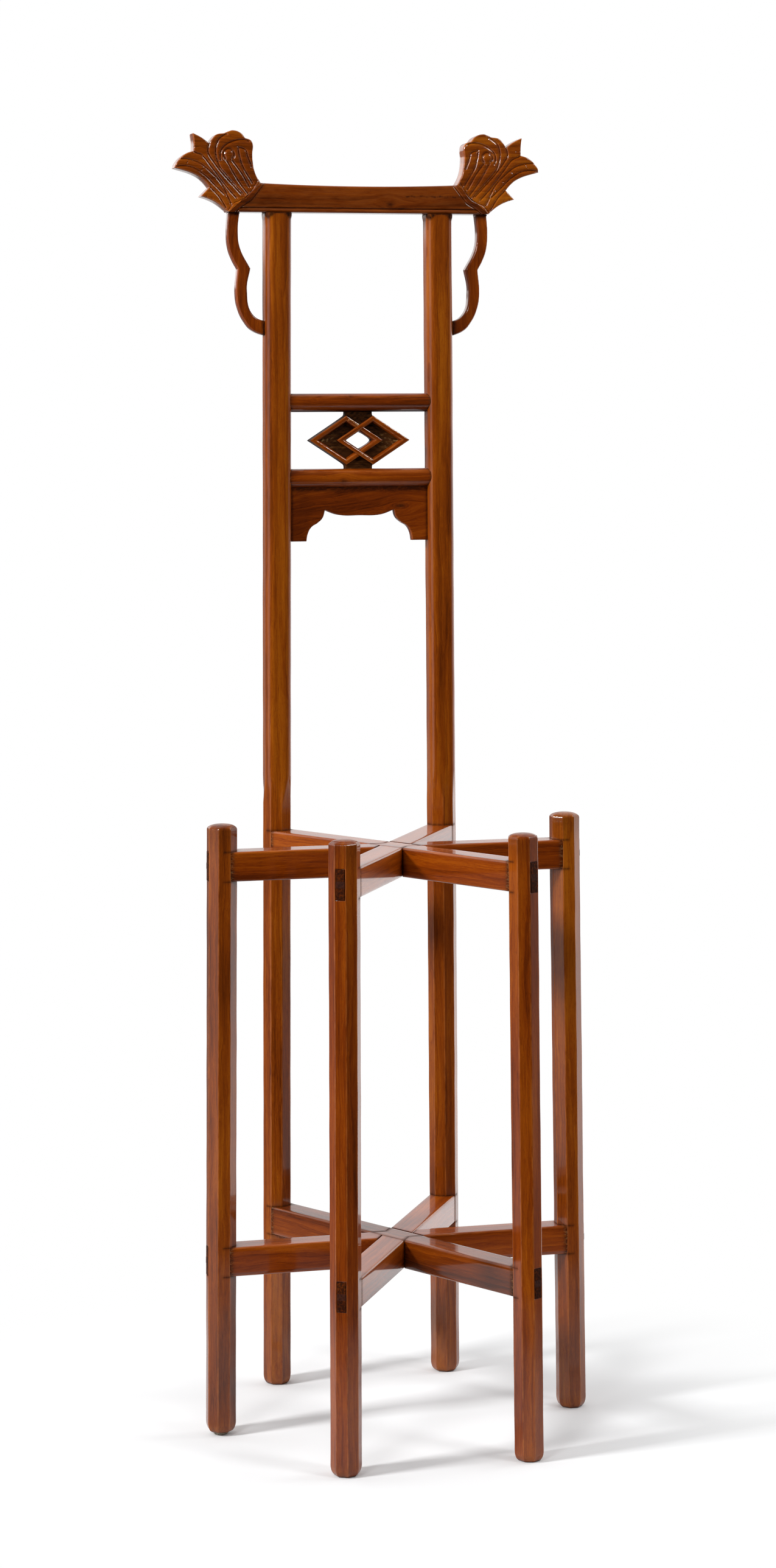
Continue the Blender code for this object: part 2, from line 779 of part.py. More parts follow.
def make_brackets(stand, clearances, crest):
    """Bowed brackets from the crest down to the outer sides of the posts."""
    top = CREST_UNDERSIDE - GAP
    face = post_offset(CREST_UNDERSIDE - SPANDREL_DROP) + POST_WIDTH / 2
    inner = face - POST_CORNER_RADIUS
    outline = []
    for across, down, kind in BRACKET_SHARES:
        x = face + across * SPANDREL_REACH if across else inner
        outline.append((x, top - down * SPANDREL_DROP, kind))
    right = outline_mesh("right_spandrel", [outline], SPANDREL_THICKNESS)
    round_rims(
        right,
        SPANDREL_EDGE_RADIUS,
        RAIL_EDGE_SEGMENTS,
        keep_edge=lambda ends: min(end.z for end in ends) > top - GAP
        or max(end.x for end in ends) < inner + GAP,
    )
    left = mirrored(right, "left_spandrel")
    for side, mesh in ((1, right), (-1, left)):
        word = "right" if side > 0 else "left"
        bracket = stand.add(word + "_spandrel", lean_back_frame(mesh))
        post_name = "rear_right_post" if side > 0 else "rear_left_post"
        cut(bracket, clearances[post_name])
        head_share = (BRACKET_SHARES[0][0] + BRACKET_SHARES[-1][0]) / 2
        head_x = face + head_share * SPANDREL_REACH - BRACKET_HEAD_TENON.x / 2
        head = Vector((side * head_x, 0, top + (BRACKET_HEAD_TENON.z - TENON_ROOT) / 2))
        size = BRACKET_HEAD_TENON + Vector((0, 0, TENON_ROOT))
        add_back_tenon(stand, word + "_bracket_head", bracket, [crest], head, size)
        foot_z = top - SPANDREL_DROP * (BRACKET_SHARES[9][1] + BRACKET_SHARES[10][1]) / 2
        foot_x = face + (TENON_ROOT - BRACKET_FOOT_TENON.x) / 2
        foot = Vector((side * foot_x, 0, foot_z))
        size = BRACKET_FOOT_TENON + Vector((TENON_ROOT, 0, 0))
        add_back_tenon(
            stand, word + "_bracket_foot", bracket, [stand.piece(post_name)], foot, size
        )


def make_cross_rail(stand, clearances, name, top, height):
    """Rounded rail coped over both posts and tenoned into them."""
    middle_z = top - height / 2
    half_length = post_offset(middle_z)
    mesh = rounded_bar_mesh(
        name,
        half_length,
        CROSS_RAIL_DEPTH,
        top - height,
        top,
        CROSS_RAIL_RADIUS,
        CROSS_RAIL_SEGMENTS,
    )
    rail = stand.add(name, lean_back_frame(mesh))
    for post_name in POST_NAMES:
        cut(rail, clearances[post_name])
    reach = half_length - POST_WIDTH / 2 + CROSS_TENON.x
    size = Vector((2 * reach, CROSS_TENON.y, CROSS_TENON.z))
    posts = [stand.piece(post_name) for post_name in POST_NAMES]
    add_back_tenon(stand, name + "_tenons", rail, posts, Vector((0, 0, middle_z)), size)
    return rail


def diamond(middle_x, middle_z, half_width, half_height):
    """Corners of an upright diamond."""
    return [
        (middle_x - half_width, middle_z, "corner"),
        (middle_x, middle_z - half_height, "corner"),
        (middle_x + half_width, middle_z, "corner"),
        (middle_x, middle_z + half_height, "corner"),
    ]


def make_fret(stand, upper_rail, lower_rail):
    """Two interlaced diamond bands on a pierced ground, housed in both cross rails."""
    low = LOWER_CROSS_TOP - FRET_HOUSING
    high = UPPER_CROSS_TOP - UPPER_CROSS_HEIGHT + FRET_HOUSING
    middle_z = (LOWER_CROSS_TOP + UPPER_CROSS_TOP - UPPER_CROSS_HEIGHT) / 2
    half_width = DIAMOND_WIDTH / 2
    half_height = DIAMOND_HEIGHT / 2
    inner_width = half_width - BAND_ACROSS
    inner_height = half_height * inner_width / half_width
    ground_outline = (
        (-DIAMOND_OFFSET - half_width, middle_z, "corner"),
        (-DIAMOND_OFFSET, middle_z - half_height, "corner"),
        (-DIAMOND_OFFSET, low, "corner"),
        (DIAMOND_OFFSET, low, "corner"),
        (DIAMOND_OFFSET, middle_z - half_height, "corner"),
        (DIAMOND_OFFSET + half_width, middle_z, "corner"),
        (DIAMOND_OFFSET, middle_z + half_height, "corner"),
        (DIAMOND_OFFSET, high, "corner"),
        (-DIAMOND_OFFSET, high, "corner"),
        (-DIAMOND_OFFSET, middle_z + half_height, "corner"),
    )
    hole_width = inner_width - DIAMOND_OFFSET
    hole_height = inner_height * hole_width / inner_width
    hole = diamond(0, middle_z, hole_width, hole_height)
    ground = outline_mesh("fret_panel", [ground_outline, hole], FRET_GROUND_THICKNESS)
    ground_middle = FRET_BACK - FRET_GROUND_THICKNESS / 2
    ground.transform(Matrix.Translation((0, ground_middle, 0)))
    fret = stand.add("fret_panel", lean_back_frame(ground))
    for side, word, front in (
        (-1, "left", BAND_FRONT - BAND_STEP),
        (1, "right", BAND_FRONT),
    ):
        offset = side * DIAMOND_OFFSET
        outer = diamond(offset, middle_z, half_width - GAP, half_height - GAP)
        inner = diamond(offset, middle_z, inner_width, inner_height)
        thickness = front + FRET_BACK - FRET_GROUND_THICKNESS / 2
        band = outline_mesh(word + "_band", [outer, inner], thickness)
        band.transform(Matrix.Translation((0, thickness / 2 - front, 0)))
        join(fret, stand.tool(word + "_band", lean_back_frame(band)))
    clear_half = Vector((DIAMOND_OFFSET + GAP, FRET_GROUND_THICKNESS / 2 + GAP, 0))
    housing = box_mesh(
        "fret_housing",
        (-clear_half.x, ground_middle - clear_half.y, low - GAP),
        (clear_half.x, ground_middle + clear_half.y, high + GAP),
    )
    housing_tool = stand.tool("fret_housing", lean_back_frame(housing))
    cut(upper_rail, housing_tool)
    cut(lower_rail, housing_tool)


def make_apron(stand, lower_rail):
    """Shaped board housed in the lower cross rail and both posts."""
    rail_underside = LOWER_CROSS_TOP - LOWER_CROSS_HEIGHT
    high = rail_underside + APRON_HOUSING
    low = rail_underside - APRON_DEPTH
    face = post_offset(rail_underside) - POST_WIDTH / 2
    half_width = face + APRON_HOUSING
    foot_inner = face - APRON_FOOT_WIDTH
    right_edge = [
        (across * face, rail_underside - down * APRON_DEPTH, kind)
        for across, down, kind in APRON_SHARES
    ]
    left_edge = [(-x, z, kind) for x, z, kind in reversed(right_edge[1:])]
    outline = [
        (-half_width, low, "corner"),
        (-foot_inner, low, "corner"),
        *left_edge,
        *right_edge,
        (foot_inner, low, "corner"),
        (half_width, low, "corner"),
        (half_width, high, "corner"),
        (-half_width, high, "corner"),
    ]
    mesh = outline_mesh("apron", [outline], APRON_THICKNESS)
    stand.add("apron", lean_back_frame(mesh))
    clear = APRON_THICKNESS / 2 + GAP
    housing = box_mesh(
        "apron_housing",
        (-half_width - GAP, -clear, low - GAP),
        (half_width + GAP, clear, high + GAP),
    )
    housing_tool = stand.tool("apron_housing", lean_back_frame(housing))
    cut(lower_rail, housing_tool)
    for post_name in POST_NAMES:
        cut(stand.piece(post_name), housing_tool)


def shade_pieces(stand):
    """Shades the round faces smooth and keeps the arrises sharp."""
    for piece in stand.pieces.objects:
        piece.data.shade_smooth()
        piece.data.set_sharp_from_angle(angle=math.radians(28))


def build_stand():
    """Builds the whole stand."""
    clear_scene()
    stand = Stand()
    clearances = make_legs(stand)
    make_rails(stand, clearances)
    make_foot_pad(stand)
    crest = make_crest_rail(stand)
    make_carved_ends(stand, crest)
    make_brackets(stand, clearances, crest)
    upper_rail = make_cross_rail(
        stand, clearances, "upper_cross_rail", UPPER_CROSS_TOP, UPPER_CROSS_HEIGHT
    )
    lower_rail = make_cross_rail(
        stand, clearances, "lower_cross_rail", LOWER_CROSS_TOP, LOWER_CROSS_HEIGHT
    )
    make_fret(stand, upper_rail, lower_rail)
    make_apron(stand, lower_rail)
    shade_pieces(stand)


build_stand()
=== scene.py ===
import bmesh
import bpy
import numpy as np
from math import cos, pi, radians, sin, tan
from mathutils import Matrix, Vector


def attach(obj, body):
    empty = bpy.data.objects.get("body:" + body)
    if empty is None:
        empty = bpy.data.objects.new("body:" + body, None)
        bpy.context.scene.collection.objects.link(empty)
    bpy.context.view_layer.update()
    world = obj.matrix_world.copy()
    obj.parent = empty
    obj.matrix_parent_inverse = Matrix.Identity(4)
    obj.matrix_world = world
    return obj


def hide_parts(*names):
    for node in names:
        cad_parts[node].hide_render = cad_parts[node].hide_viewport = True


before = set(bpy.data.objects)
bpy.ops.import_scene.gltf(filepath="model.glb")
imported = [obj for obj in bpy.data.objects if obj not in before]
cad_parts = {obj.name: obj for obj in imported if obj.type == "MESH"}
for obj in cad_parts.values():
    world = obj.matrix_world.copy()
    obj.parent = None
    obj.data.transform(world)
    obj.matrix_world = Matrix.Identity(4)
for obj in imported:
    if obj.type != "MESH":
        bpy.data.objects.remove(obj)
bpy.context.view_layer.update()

print("frame loaded with", len(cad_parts), "solids")

# Every shape below is worked out in millimetres; makePiece turns it to metres.
stand = {
    "footRadius": 225.0,     # circle through the middles of the six feet
    "lean": 0.0127,          # how far a leg comes in for each unit that it rises
    "legSpacing": radians(60),
    "crestUnderside": 1494.0,
    "upperRailTop": 722.0,
    "lowerRailTop": 236.0,
    "railHeight": 36.0,
    "railWidth": 34.0,
    "tenonWidth": 11.0,
    "packing": 3.8,          # under the left leg
}
railTops = (stand["lowerRailTop"], stand["upperRailTop"])
railEdges = [top - drop for top in railTops for drop in (0.0, stand["railHeight"])]
# where each piece was cut from its tree: along it in metres, the others in mm, and the run of the
# grain out of the straight
timber = {"along": (2, 40), "aside": (-16, 16), "toPith": (14, 38), "slant": 0.012}
# stain of a knot, with sizes and places in knot sizes; the grain parts over a wider area
knotLook = {"heart": 0.75, "heartSize": 0.625, "ring": 0.35, "ringAt": 1.3, "ringWidth": 0.353553,
            "partedWidth": 2.6}


# Distance of a leg's middle from the middle of the stand, at height z.
def legReach(z):
    return stand["footRadius"] - stand["lean"] * z


# 0 up to low, 1 from high on, and in between 3 s s - 2 s s s of the share s of the way.
def smoothStep(low, high, value):
    share = np.clip((value - low) / (high - low), 0, 1)
    return share * share * (3 - 2 * share)


# A bell curve: 1 at no distance, 1/e at the given width.
def bell(distance, width):
    return np.exp(-(distance / width) ** 2)


# 1 up to no distance, then less by the factor e with every reach.
def fading(distance, reach):
    return np.exp(-np.clip(distance, 0, None) / reach)


# The largest of several layers at each point.
def largest(*layers):
    return np.max(np.broadcast_arrays(*layers), axis=0)


# Darkening along one or more joints: each has its strength, the distances between which it grows, and
# the distance of each point from it.
def jointDarkening(*joints):
    return largest(*(dark * smoothStep(far, near, away) for (dark, far, near), away in joints))


# Places upright points in the plane of the two leaning posts.
def leanBack(points):
    placed = points.copy()
    placed[..., 1] += legReach(points[..., 2]) * sin(stand["legSpacing"])
    return placed


# Turns points about the upright axis through the origin.
def turnedBy(points, angle):
    placed = points.copy()
    placed[..., 0] = cos(angle) * points[..., 0] - sin(angle) * points[..., 1]
    placed[..., 1] = sin(angle) * points[..., 0] + cos(angle) * points[..., 1]
    return placed


# Where each point lies in the wood: along the grain, across it and towards the pith, in metres.
# Every piece is cut from its own place in the tree, drawn from the seed.
def woodPlace(along, across, depth, seed):
    draw = np.random.default_rng(seed)
    start = draw.uniform(*timber["along"])
    aside = draw.uniform(*timber["aside"])
    pith = draw.uniform(*timber["toPith"]) * draw.choice((-1, 1))
    tilt = timber["slant"] * draw.uniform(-1, 1)
    layers = np.broadcast_arrays(along, across + aside + tilt * along, depth + pith)
    place = np.stack(layers, -1) * 0.001
    place[..., 0] += start
    return place


# Square of the distance to a knot's middle, in knot sizes.
def knotDistance(along, across, knot):
    middle, level, length, width = knot
    return ((along - middle) / length) ** 2 + ((across - level) / width) ** 2


# Grain lines part round a knot: near one, the place across the grain is drawn to the knot's own.
def roundKnots(along, across, knots, partedLength):
    for middle, level, length, width in knots:
        area = middle, level, partedLength * length, knotLook["partedWidth"] * width
        across = across - (across - level) * np.exp(-knotDistance(along, across, area) / 2)
    return across


# A dark heart and a thinner dark ring, each a bell curve of the distance to the knot.
def knotStain(along, across, knots):
    stain = 0.0 * along
    for knot in knots:
        far = knotDistance(along, across, knot)
        heart = knotLook["heart"] * bell(far, knotLook["heartSize"])
        ring = knotLook["ring"] * bell(far - knotLook["ringAt"], knotLook["ringWidth"])
        stain = np.maximum(stain, heart + ring)
    return stain


# A closed skin through a stack of rings (stations x points x 3): quads between neighbouring rings,
# and then either a fan to the middle of the first and of the last ring or, where the stack runs
# round in a circle, quads from the last ring to the first.
def loftSkin(rings, place, grime=0.0, wax=0.0, wear=0.0, circular=False):
    stations, count = rings.shape[:2]
    total = stations * count
    station = np.arange(stations if circular else stations - 1)[:, None] * count
    following = (station + count) % total
    index = np.arange(count)[None]
    after = (index + 1) % count
    corners = (station + index, station + after, following + after, following + index)
    faces = [np.stack(corners, -1).reshape(-1, 4)]
    if not circular:
        faces += [
            np.stack([first + index[0], first + after[0], np.full(count, middle)], -1)
            for first, middle in ((0, total), (total - count, total + 1))
        ]

    def flattened(values, size):
        values = np.broadcast_to(values, (stations, count, size))
        flat = values.reshape(total, size)
        return flat if circular else np.concatenate([flat, values[[0, -1]].mean(1)])

    skin = {"points": flattened(rings, 3), "faces": faces, "grain": flattened(place, 3)}
    for word, values in (("grime", grime), ("wax", wax), ("wear", wear)):
        skin[word] = flattened(np.asarray(values)[..., None], 1)[:, 0]
    return skin


# Puts one or more skins into one mesh that replaces a node, with their wear and their places in
# the wood as attributes.
def makePiece(name, node, skins, material, crisp=32):
    points, faces, offset = [], [], 0
    for skin in skins:
        points.append(skin["points"])
        for block in skin["faces"]:
            faces += (block + offset).tolist()
        offset += len(skin["points"])
    mesh = bpy.data.meshes.new(name)
    mesh.from_pydata((np.concatenate(points) * 0.001).tolist(), [], faces)
    for word in ("grime", "wax", "wear"):
        values = np.concatenate([skin[word] for skin in skins])
        layer = mesh.attributes.new(word, "FLOAT", "POINT")
        layer.data.foreach_set("value", np.clip(values, 0, 1).astype(np.float32))
    grain = np.concatenate([skin["grain"] for skin in skins])
    layer = mesh.attributes.new("grain", "FLOAT_VECTOR", "POINT")
    layer.data.foreach_set("vector", grain.astype(np.float32).ravel())
    builder = bmesh.new()
    builder.from_mesh(mesh)
    bmesh.ops.recalc_face_normals(builder, faces=builder.faces)
    builder.to_mesh(mesh)
    builder.free()
    mesh.polygons.foreach_set("use_smooth", [True] * len(mesh.polygons))
    mesh.set_sharp_from_angle(angle=radians(crisp))
    mesh.materials.append(material)
    piece = bpy.data.objects.new(name, mesh)
    bpy.context.scene.collection.objects.link(piece)
    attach(piece, "root")
    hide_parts(node)


# Linear colour of an sRGB hex code.
def linear(code):
    parts = [int(code[place:place + 2], 16) / 255 for place in (1, 3, 5)]
    return (*[p / 12.92 if p <= 0.04045 else ((p + 0.055) / 1.055) ** 2.4 for p in parts], 1.0)


# Adds a shader node and gives one of its outputs back. A value named in small letters is a
# property; one named with a capital, or by _ and a number, is a socket and takes a constant or
# another output.
def addNode(tree, kind, out=0, **given):
    node = tree.nodes.new(kind)
    for key, value in given.items():
        if key == "stops":
            for element, (place, code) in zip(node.color_ramp.elements, value):
                element.position, element.color = place, linear(code)
        elif key[0].islower():
            setattr(node, key, value)
        else:
            socket = node.inputs[int(key[1:]) if key[0] == "_" else key.replace("_", " ")]
            if isinstance(value, bpy.types.NodeSocket):
                tree.links.new(value, socket)
            else:
                socket.default_value = value
    return node.outputs[out] if node.outputs else None


# A material with an empty tree.
def newMaterial(name):
    material = bpy.data.materials.new(name)
    material.use_nodes = True
    material.node_tree.nodes.clear()
    return material, material.node_tree


woodLook = {
    "tones": ("#551e00", "#7e3401", "#9e4e06"),
    "streak": "#331402",
    "grime": "#170803",
    "wax": "#b98a5a",
    "worn": "#b0642a",
    "ringSpacing": 7.5,      # mm between growth rings
    "ringWander": 2.0,
    "undercoat": 0.05,       # the wood's own shine, nearly lost under the varnish
    "roughness": 0.42,
    "dullest": 0.75,         # roughness where dirt and painted shade lie
    "coat": 0.85,
    "coatInGrimeAndShade": 0.05,       # coat left where dirt and painted shade lie
    "coatRoughness": 0.07,
    "ior": 1.5,
    "relief": 0.00035,
    "reliefStrength": 0.3,
    "wander": 0.013,         # m that the grain strays sideways
    "wanderScale": (8.0, 32.0, 32.0),   # turns to the metre of that straying
}
ringUnit = 0.314             # ring spacing of the wave texture at scale 1
# Noise patterns drawn out along the grain: length and width in mm, detail, roughness, and the
# range of the noise that is stretched to 0 and 1. Real pores are 0.2 mm wide and fibres finer;
# both are drawn as wide as they need to show.
woodPatterns = {
    "broad": (260.0, 24.0, 2.0, 0.5, 0.28, 0.72),
    "streaks": (330.0, 2.6, 3.0, 0.55, 0.25, 0.75),
    "fibres": (28.0, 0.8, 4.0, 0.65, 0.22, 0.78),
    "heart": (420.0, 3.6, 3.0, 0.6, 0.61, 0.76),
    "pores": (4.0, 0.5, 2.0, 0.5, 0.60, 0.72),
    "swell": (60.0, 16.0, 1.0, 0.4, 0.3, 0.7),
    "scuffs": (26.0, 5.0, 3.0, 0.6, 0.35, 0.62),
    "darkFlecks": (6.0, 3.0, 3.0, 0.6, 0.0, 0.55),
    "paleFlecks": (4.0, 1.8, 4.0, 0.7, 0.50, 0.60),
}
figureShares = {"broad": 0.40, "streaks": 0.14, "fibres": 0.34, "rings": 0.12}
reliefShares = {"pores": -0.7, "fibres": 0.35, "swell": 1.2}
figureSteps = ((0.25, 0.50), (0.50, 0.78))     # from the dark tone to the middle, then the light
heartShare, poreShare = 0.45, 0.38


# Elm under a reddish-brown stain and glossy varnish: soft warm bands and wandering ring lines,
# fine fibres and short dark pore dashes, darker dirt in the joints with painted shade in recesses and
# under parts, worn golden edges, pale wax with painted glints, and a clear coat that mirrors its
# surroundings on the facets seen at a slant.
def varnishedElm(name, look):
    material, tree = newMaterial(name)
    # dirt comes here together with painted shade, and pale wax together with painted glints
    place, darkening, paleFlecks, rubbed = (
        addNode(tree, "ShaderNodeAttribute", out=out, attribute_name=word)
        for word, out in (("grain", "Vector"), ("grime", "Fac"), ("wax", "Fac"), ("wear", "Fac")))
    # the grain wanders by a few millimetres
    scaled = addNode(tree, "ShaderNodeMapping", Vector=place, Scale=look["wanderScale"])
    drift = addNode(tree, "ShaderNodeTexNoise", "Color", Vector=scaled, Scale=1.0, Detail=2.0)
    bent = addNode(tree, "ShaderNodeVectorMath", operation="MULTIPLY_ADD",
                   _0=drift, _1=(0.0, look["wander"], look["wander"]), _2=place)
    pattern = {}
    for word, (length, width, detail, roughness, low, high) in woodPatterns.items():
        scale = (1000 / length, 1000 / width, 1000 / width)
        scaled = addNode(tree, "ShaderNodeMapping", Vector=bent, Scale=scale)
        noise = addNode(tree, "ShaderNodeTexNoise", Vector=scaled, Scale=1.0, Detail=detail,
                        Roughness=roughness)
        pattern[word] = addNode(tree, "ShaderNodeMapRange", _0=noise, _1=low, _2=high)
    flat = addNode(tree, "ShaderNodeMapping", Vector=bent, Scale=(1.0, 1000.0, 1000.0))
    pattern["rings"] = addNode(
        tree, "ShaderNodeTexWave", "Fac", Vector=flat, wave_type="RINGS", rings_direction="X",
        wave_profile="SAW", Scale=ringUnit / look["ringSpacing"], Distortion=look["ringWander"],
        Detail=2.0, Detail_Scale=0.3)
    totals = []
    for shares in (figureShares, reliefShares):
        total = 0.0
        for word, share in shares.items():
            total = addNode(tree, "ShaderNodeMath", operation="MULTIPLY_ADD",
                            _0=pattern[word], _1=share, _2=total)
        totals.append(total)
    figure, relief = totals
    colour, *tones = (linear(code) for code in look["tones"])
    for (low, high), tone in zip(figureSteps, tones):
        share = addNode(tree, "ShaderNodeMapRange", _0=figure, _1=low, _2=high)
        colour = addNode(tree, "ShaderNodeMix", 2, data_type="RGBA", _0=share, _6=colour, _7=tone)
    # heart streaks, pores, edges rubbed through, dirt in the joints with painted shade, pale wax on
    # the shoulders with painted glints on the fret
    for word, amount, tone in (("heart", heartShare, "streak"), ("pores", poreShare, "streak"),
                               ("scuffs", rubbed, "worn"), ("darkFlecks", darkening, "grime"),
                               ("paleFlecks", paleFlecks, "wax")):
        share = addNode(tree, "ShaderNodeMath", operation="MULTIPLY", _0=pattern[word], _1=amount)
        colour = addNode(tree, "ShaderNodeMix", 2, data_type="RGBA",
                         _0=share, _6=colour, _7=linear(look[tone]))
    bump = addNode(tree, "ShaderNodeBump", Strength=look["reliefStrength"],
                   Distance=look["relief"], Height=relief)
    rough = addNode(tree, "ShaderNodeMapRange", _0=darkening, _3=look["roughness"], _4=look["dullest"])
    gloss = addNode(tree, "ShaderNodeMapRange", _0=darkening, _3=look["coat"], _4=look["coatInGrimeAndShade"])
    shader = addNode(
        tree, "ShaderNodeBsdfPrincipled", Base_Color=colour, Roughness=rough, Normal=bump,
        IOR=look["ior"], Specular_IOR_Level=look["undercoat"], Coat_Weight=gloss,
        Coat_Roughness=look["coatRoughness"], Coat_IOR=look["ior"])
    addNode(tree, "ShaderNodeOutputMaterial", Surface=shader)
    return material


# A dull surface spotted all over: end grain dark with old oil, or a worn grey-beige packing.
def spottedSurface(name, look):
    material, tree = newMaterial(name)
    place = addNode(tree, "ShaderNodeTexCoord", "Object")
    spots = addNode(tree, "ShaderNodeTexNoise", Vector=place, Scale=1000 / look["spot"],
                    Detail=4.0, Roughness=0.65)
    colour = addNode(tree, "ShaderNodeValToRGB", Fac=spots, stops=look["stops"])
    bump = addNode(tree, "ShaderNodeBump", Strength=0.5, Distance=look["relief"], Height=spots)
    shader = addNode(tree, "ShaderNodeBsdfPrincipled", Base_Color=colour, Normal=bump, IOR=1.5,
                     Roughness=look["roughness"], Specular_IOR_Level=look["shine"])
    addNode(tree, "ShaderNodeOutputMaterial", Surface=shader)
    return material


elm = varnishedElm("varnished_elm", woodLook)
darkElm = varnishedElm("darker_varnished_elm", {
    **woodLook, "tones": ("#3f1600", "#672a02", "#883f06"), "worn": "#95501c"})
figuredElm = varnishedElm("figured_varnished_elm", {
    **woodLook, "tones": ("#4a1900", "#752f02", "#964606"), "worn": "#95501c", "wander": 0.028})
goldenElm = varnishedElm("golden_varnished_elm", {
    **woodLook, "tones": ("#572200", "#813a03", "#a2570a")})
roughElm = varnishedElm("chiselled_elm", {
    **woodLook, "tones": ("#3a1c08", "#5f3413", "#8a5a28"), "wax": "#b8935e",
    "coat": 0.2, "coatInGrimeAndShade": 0.0, "coatRoughness": 0.3, "roughness": 0.6})
endGrain = spottedSurface("oiled_end_grain", {
    "spot": 2.4, "stops": ((0.30, "#1e0a05"), (0.72, "#48200f")),
    "relief": 0.0003, "roughness": 0.6, "shine": 0.1})
packing = spottedSurface("worn_packing", {
    "spot": 2.4, "stops": ((0.36, "#6b6152"), (0.66, "#b5ac9b")),
    "relief": 0.0004, "roughness": 0.9, "shine": 0.5})
print("materials made")

leg = {
    "half": 17.5,            # from the middle to a flat
    "edge": 2.0,             # radius of the eight long edges
    "top": 755.0,
    "domeHeight": 7.5,
    "domePower": 2.6,
    "domeSweep": (0.12, pi / 2 * 0.985),
    "domeRings": 10,
    "domeEdgeShare": 0.114,  # edge radius at the foot of the dome; its middle is quite round
    "domeRounding": (0.2, 1.2),
    "footInset": 6.5,
    "footHeight": 13.0,
    "footRings": 9,
    "stationStep": 7.0,
    "nearRails": (0.45, 1.2, 3.0, 6.0),    # extra levels either side of a rail's top and underside
    "flatShares": np.array([-0.92, -0.857, -0.45, 0.0, 0.45, 0.857, 0.92]),
    "flatDepth": 1.2,        # what lies less deep than this belongs to the outer flat
    "edgePoints": 4,
    "cornerSplit": 0.1,      # half the share of a round corner that comes from a flat
    "wobble": 0.22,          # hand planing, mm
    "planedAway": 0.9,       # the mean of it lies this share under the full size
    "waves": ((410, 1), (233, 2), (97, 1), (61, 3)),     # length in mm, and lobes round the leg
    "calmEnds": (30, 12),    # the waves fade out over these lengths at foot and top
    "lineWidth": 0.45,       # joint line round a tenon's end
    "lineDepth": 0.5,
    # dirt, each with how dark it is and how far it reaches in mm
    "tenonDirt": (0.30, 1.6),
    "railDarkening": (0.85, 1.7),
    "innerSide": 2,          # and the rails' dirt lies nearer the middle of the stand than this
    "footDirt": (0.8, 2.4),
    # and with the heights between which it grows: painted shade below the basin tier, dirt low down
    # and on the head
    "basinTierShade": (0.07, 800, 700),
    "lowDarkening": (0.10, 280, 60),
    "headDirt": (0.32, 700, 750),
    "wornEdge": (0.55, 0.80, 0.98),
    "wornFoot": (0.35, 16, 4),
}
post = {
    "half": 17.0,
    "edge": 11.0,            # corner radius of the soft square above the basin tier
    "shaping": (757.0, 791.0),
    "stopHeight": 9.0,       # the soft corners stop this far under the crest
    "stopEdge": 8.0,
    "stopRings": 14,
    "stopFlat": 2.0,
    "play": 0.3,             # under the crest
    "backEdges": (1271.1, 1248.1, 1177.2, 1152.6, 1086.4),   # of what joins it higher up
    "nearBack": (1.0, 3.0),
    # painted shade and dirt under the crest, with the depths below it between which they grow, and the
    # shares of the half width between which a point counts as a corner
    "cornerShadeAndDirt": (0.95, 11, 4),
    "cornerShares": (0.55, 0.8),
    "cornerSpread": (0.3, 8),
    "topShadeAndDirt": (0.9, 2.0, 0.4),
}
# turn of each leg round the stand, in leg spacings
legPlaces = {
    "right_leg": 0, "rear_right_post": 1, "rear_left_post": 2,
    "left_leg": 3, "front_left_leg": 4, "front_right_leg": 5,
}


# Corner reach and outward direction of every point of a regular outline; a ring of half width h
# and edge radius r is (h - r) * reach + r * facing.
def outlineFactors(corners, turn, sweeps, flatShares):
    step = 2 * pi / corners
    corner = turn + step * (np.arange(corners)[:, None] + 0.5)
    flat = turn + step * (np.arange(corners)[:, None] + 1.0)

    def unit(angle):
        return np.stack([np.cos(angle), np.sin(angle)], -1)

    cornerReach = np.repeat(unit(corner) / cos(step / 2), len(sweeps), 1)
    cornerFacing = unit(corner + sweeps[None, :] * step)
    flatFacing = np.repeat(unit(flat), len(flatShares), 1)
    aside = np.repeat(unit(flat + pi / 2), len(flatShares), 1)
    flatReach = flatFacing + aside * (flatShares * tan(step / 2))[None, :, None]
    reach = np.concatenate([cornerReach, flatReach], 1).reshape(-1, 2)
    facing = np.concatenate([cornerFacing, flatFacing], 1).reshape(-1, 2)
    return reach, facing


# The octagon has a flat towards the middle of the stand and one away from it.
def octagonFactors():
    sweeps = np.linspace(-0.5, 0.5, leg["edgePoints"])
    return outlineFactors(8, -pi / 4, sweeps, leg["flatShares"])


# The square has as many points as the octagon: two edges and a flat of the octagon make one of
# its round corners.
def squareFactors(turn):
    count, split = leg["edgePoints"], leg["cornerSplit"]
    sweeps = np.concatenate([
        np.linspace(-0.5, -split, count), split * leg["flatShares"], np.linspace(split, 0.5, count)])
    return outlineFactors(4, turn, sweeps, leg["flatShares"])


# Rings of the given half widths and edge radii, as outlineFactors says.
def rings(half, edge, factors):
    reach, facing = factors
    return (half - edge)[:, None, None] * reach + edge[:, None, None] * facing


# Levels in even steps from low to high, with extra ones wherever a joint needs them.
def levelsBetween(low, high, step, extras):
    even = np.arange(low, high + step / 2, (high - low) / round((high - low) / step))
    return np.unique(np.round(np.concatenate([even, extras]), 3))


# Levels close to each of the edges.
def levelsNear(edges, distances):
    near = np.array([*(-distance for distance in reversed(distances)), 0.0, *distances])
    return np.concatenate([edge + near for edge in edges])


# Distance outside (positive) or inside (negative) of a tenon's end, 11 by 36 mm.
def tenonDistance(across, z):
    distances = [
        np.maximum(np.abs(across) - stand["tenonWidth"] / 2,
                   np.abs(z - top + stand["railHeight"] / 2) - stand["railHeight"] / 2)
        for top in railTops
    ]
    return np.minimum(*distances)


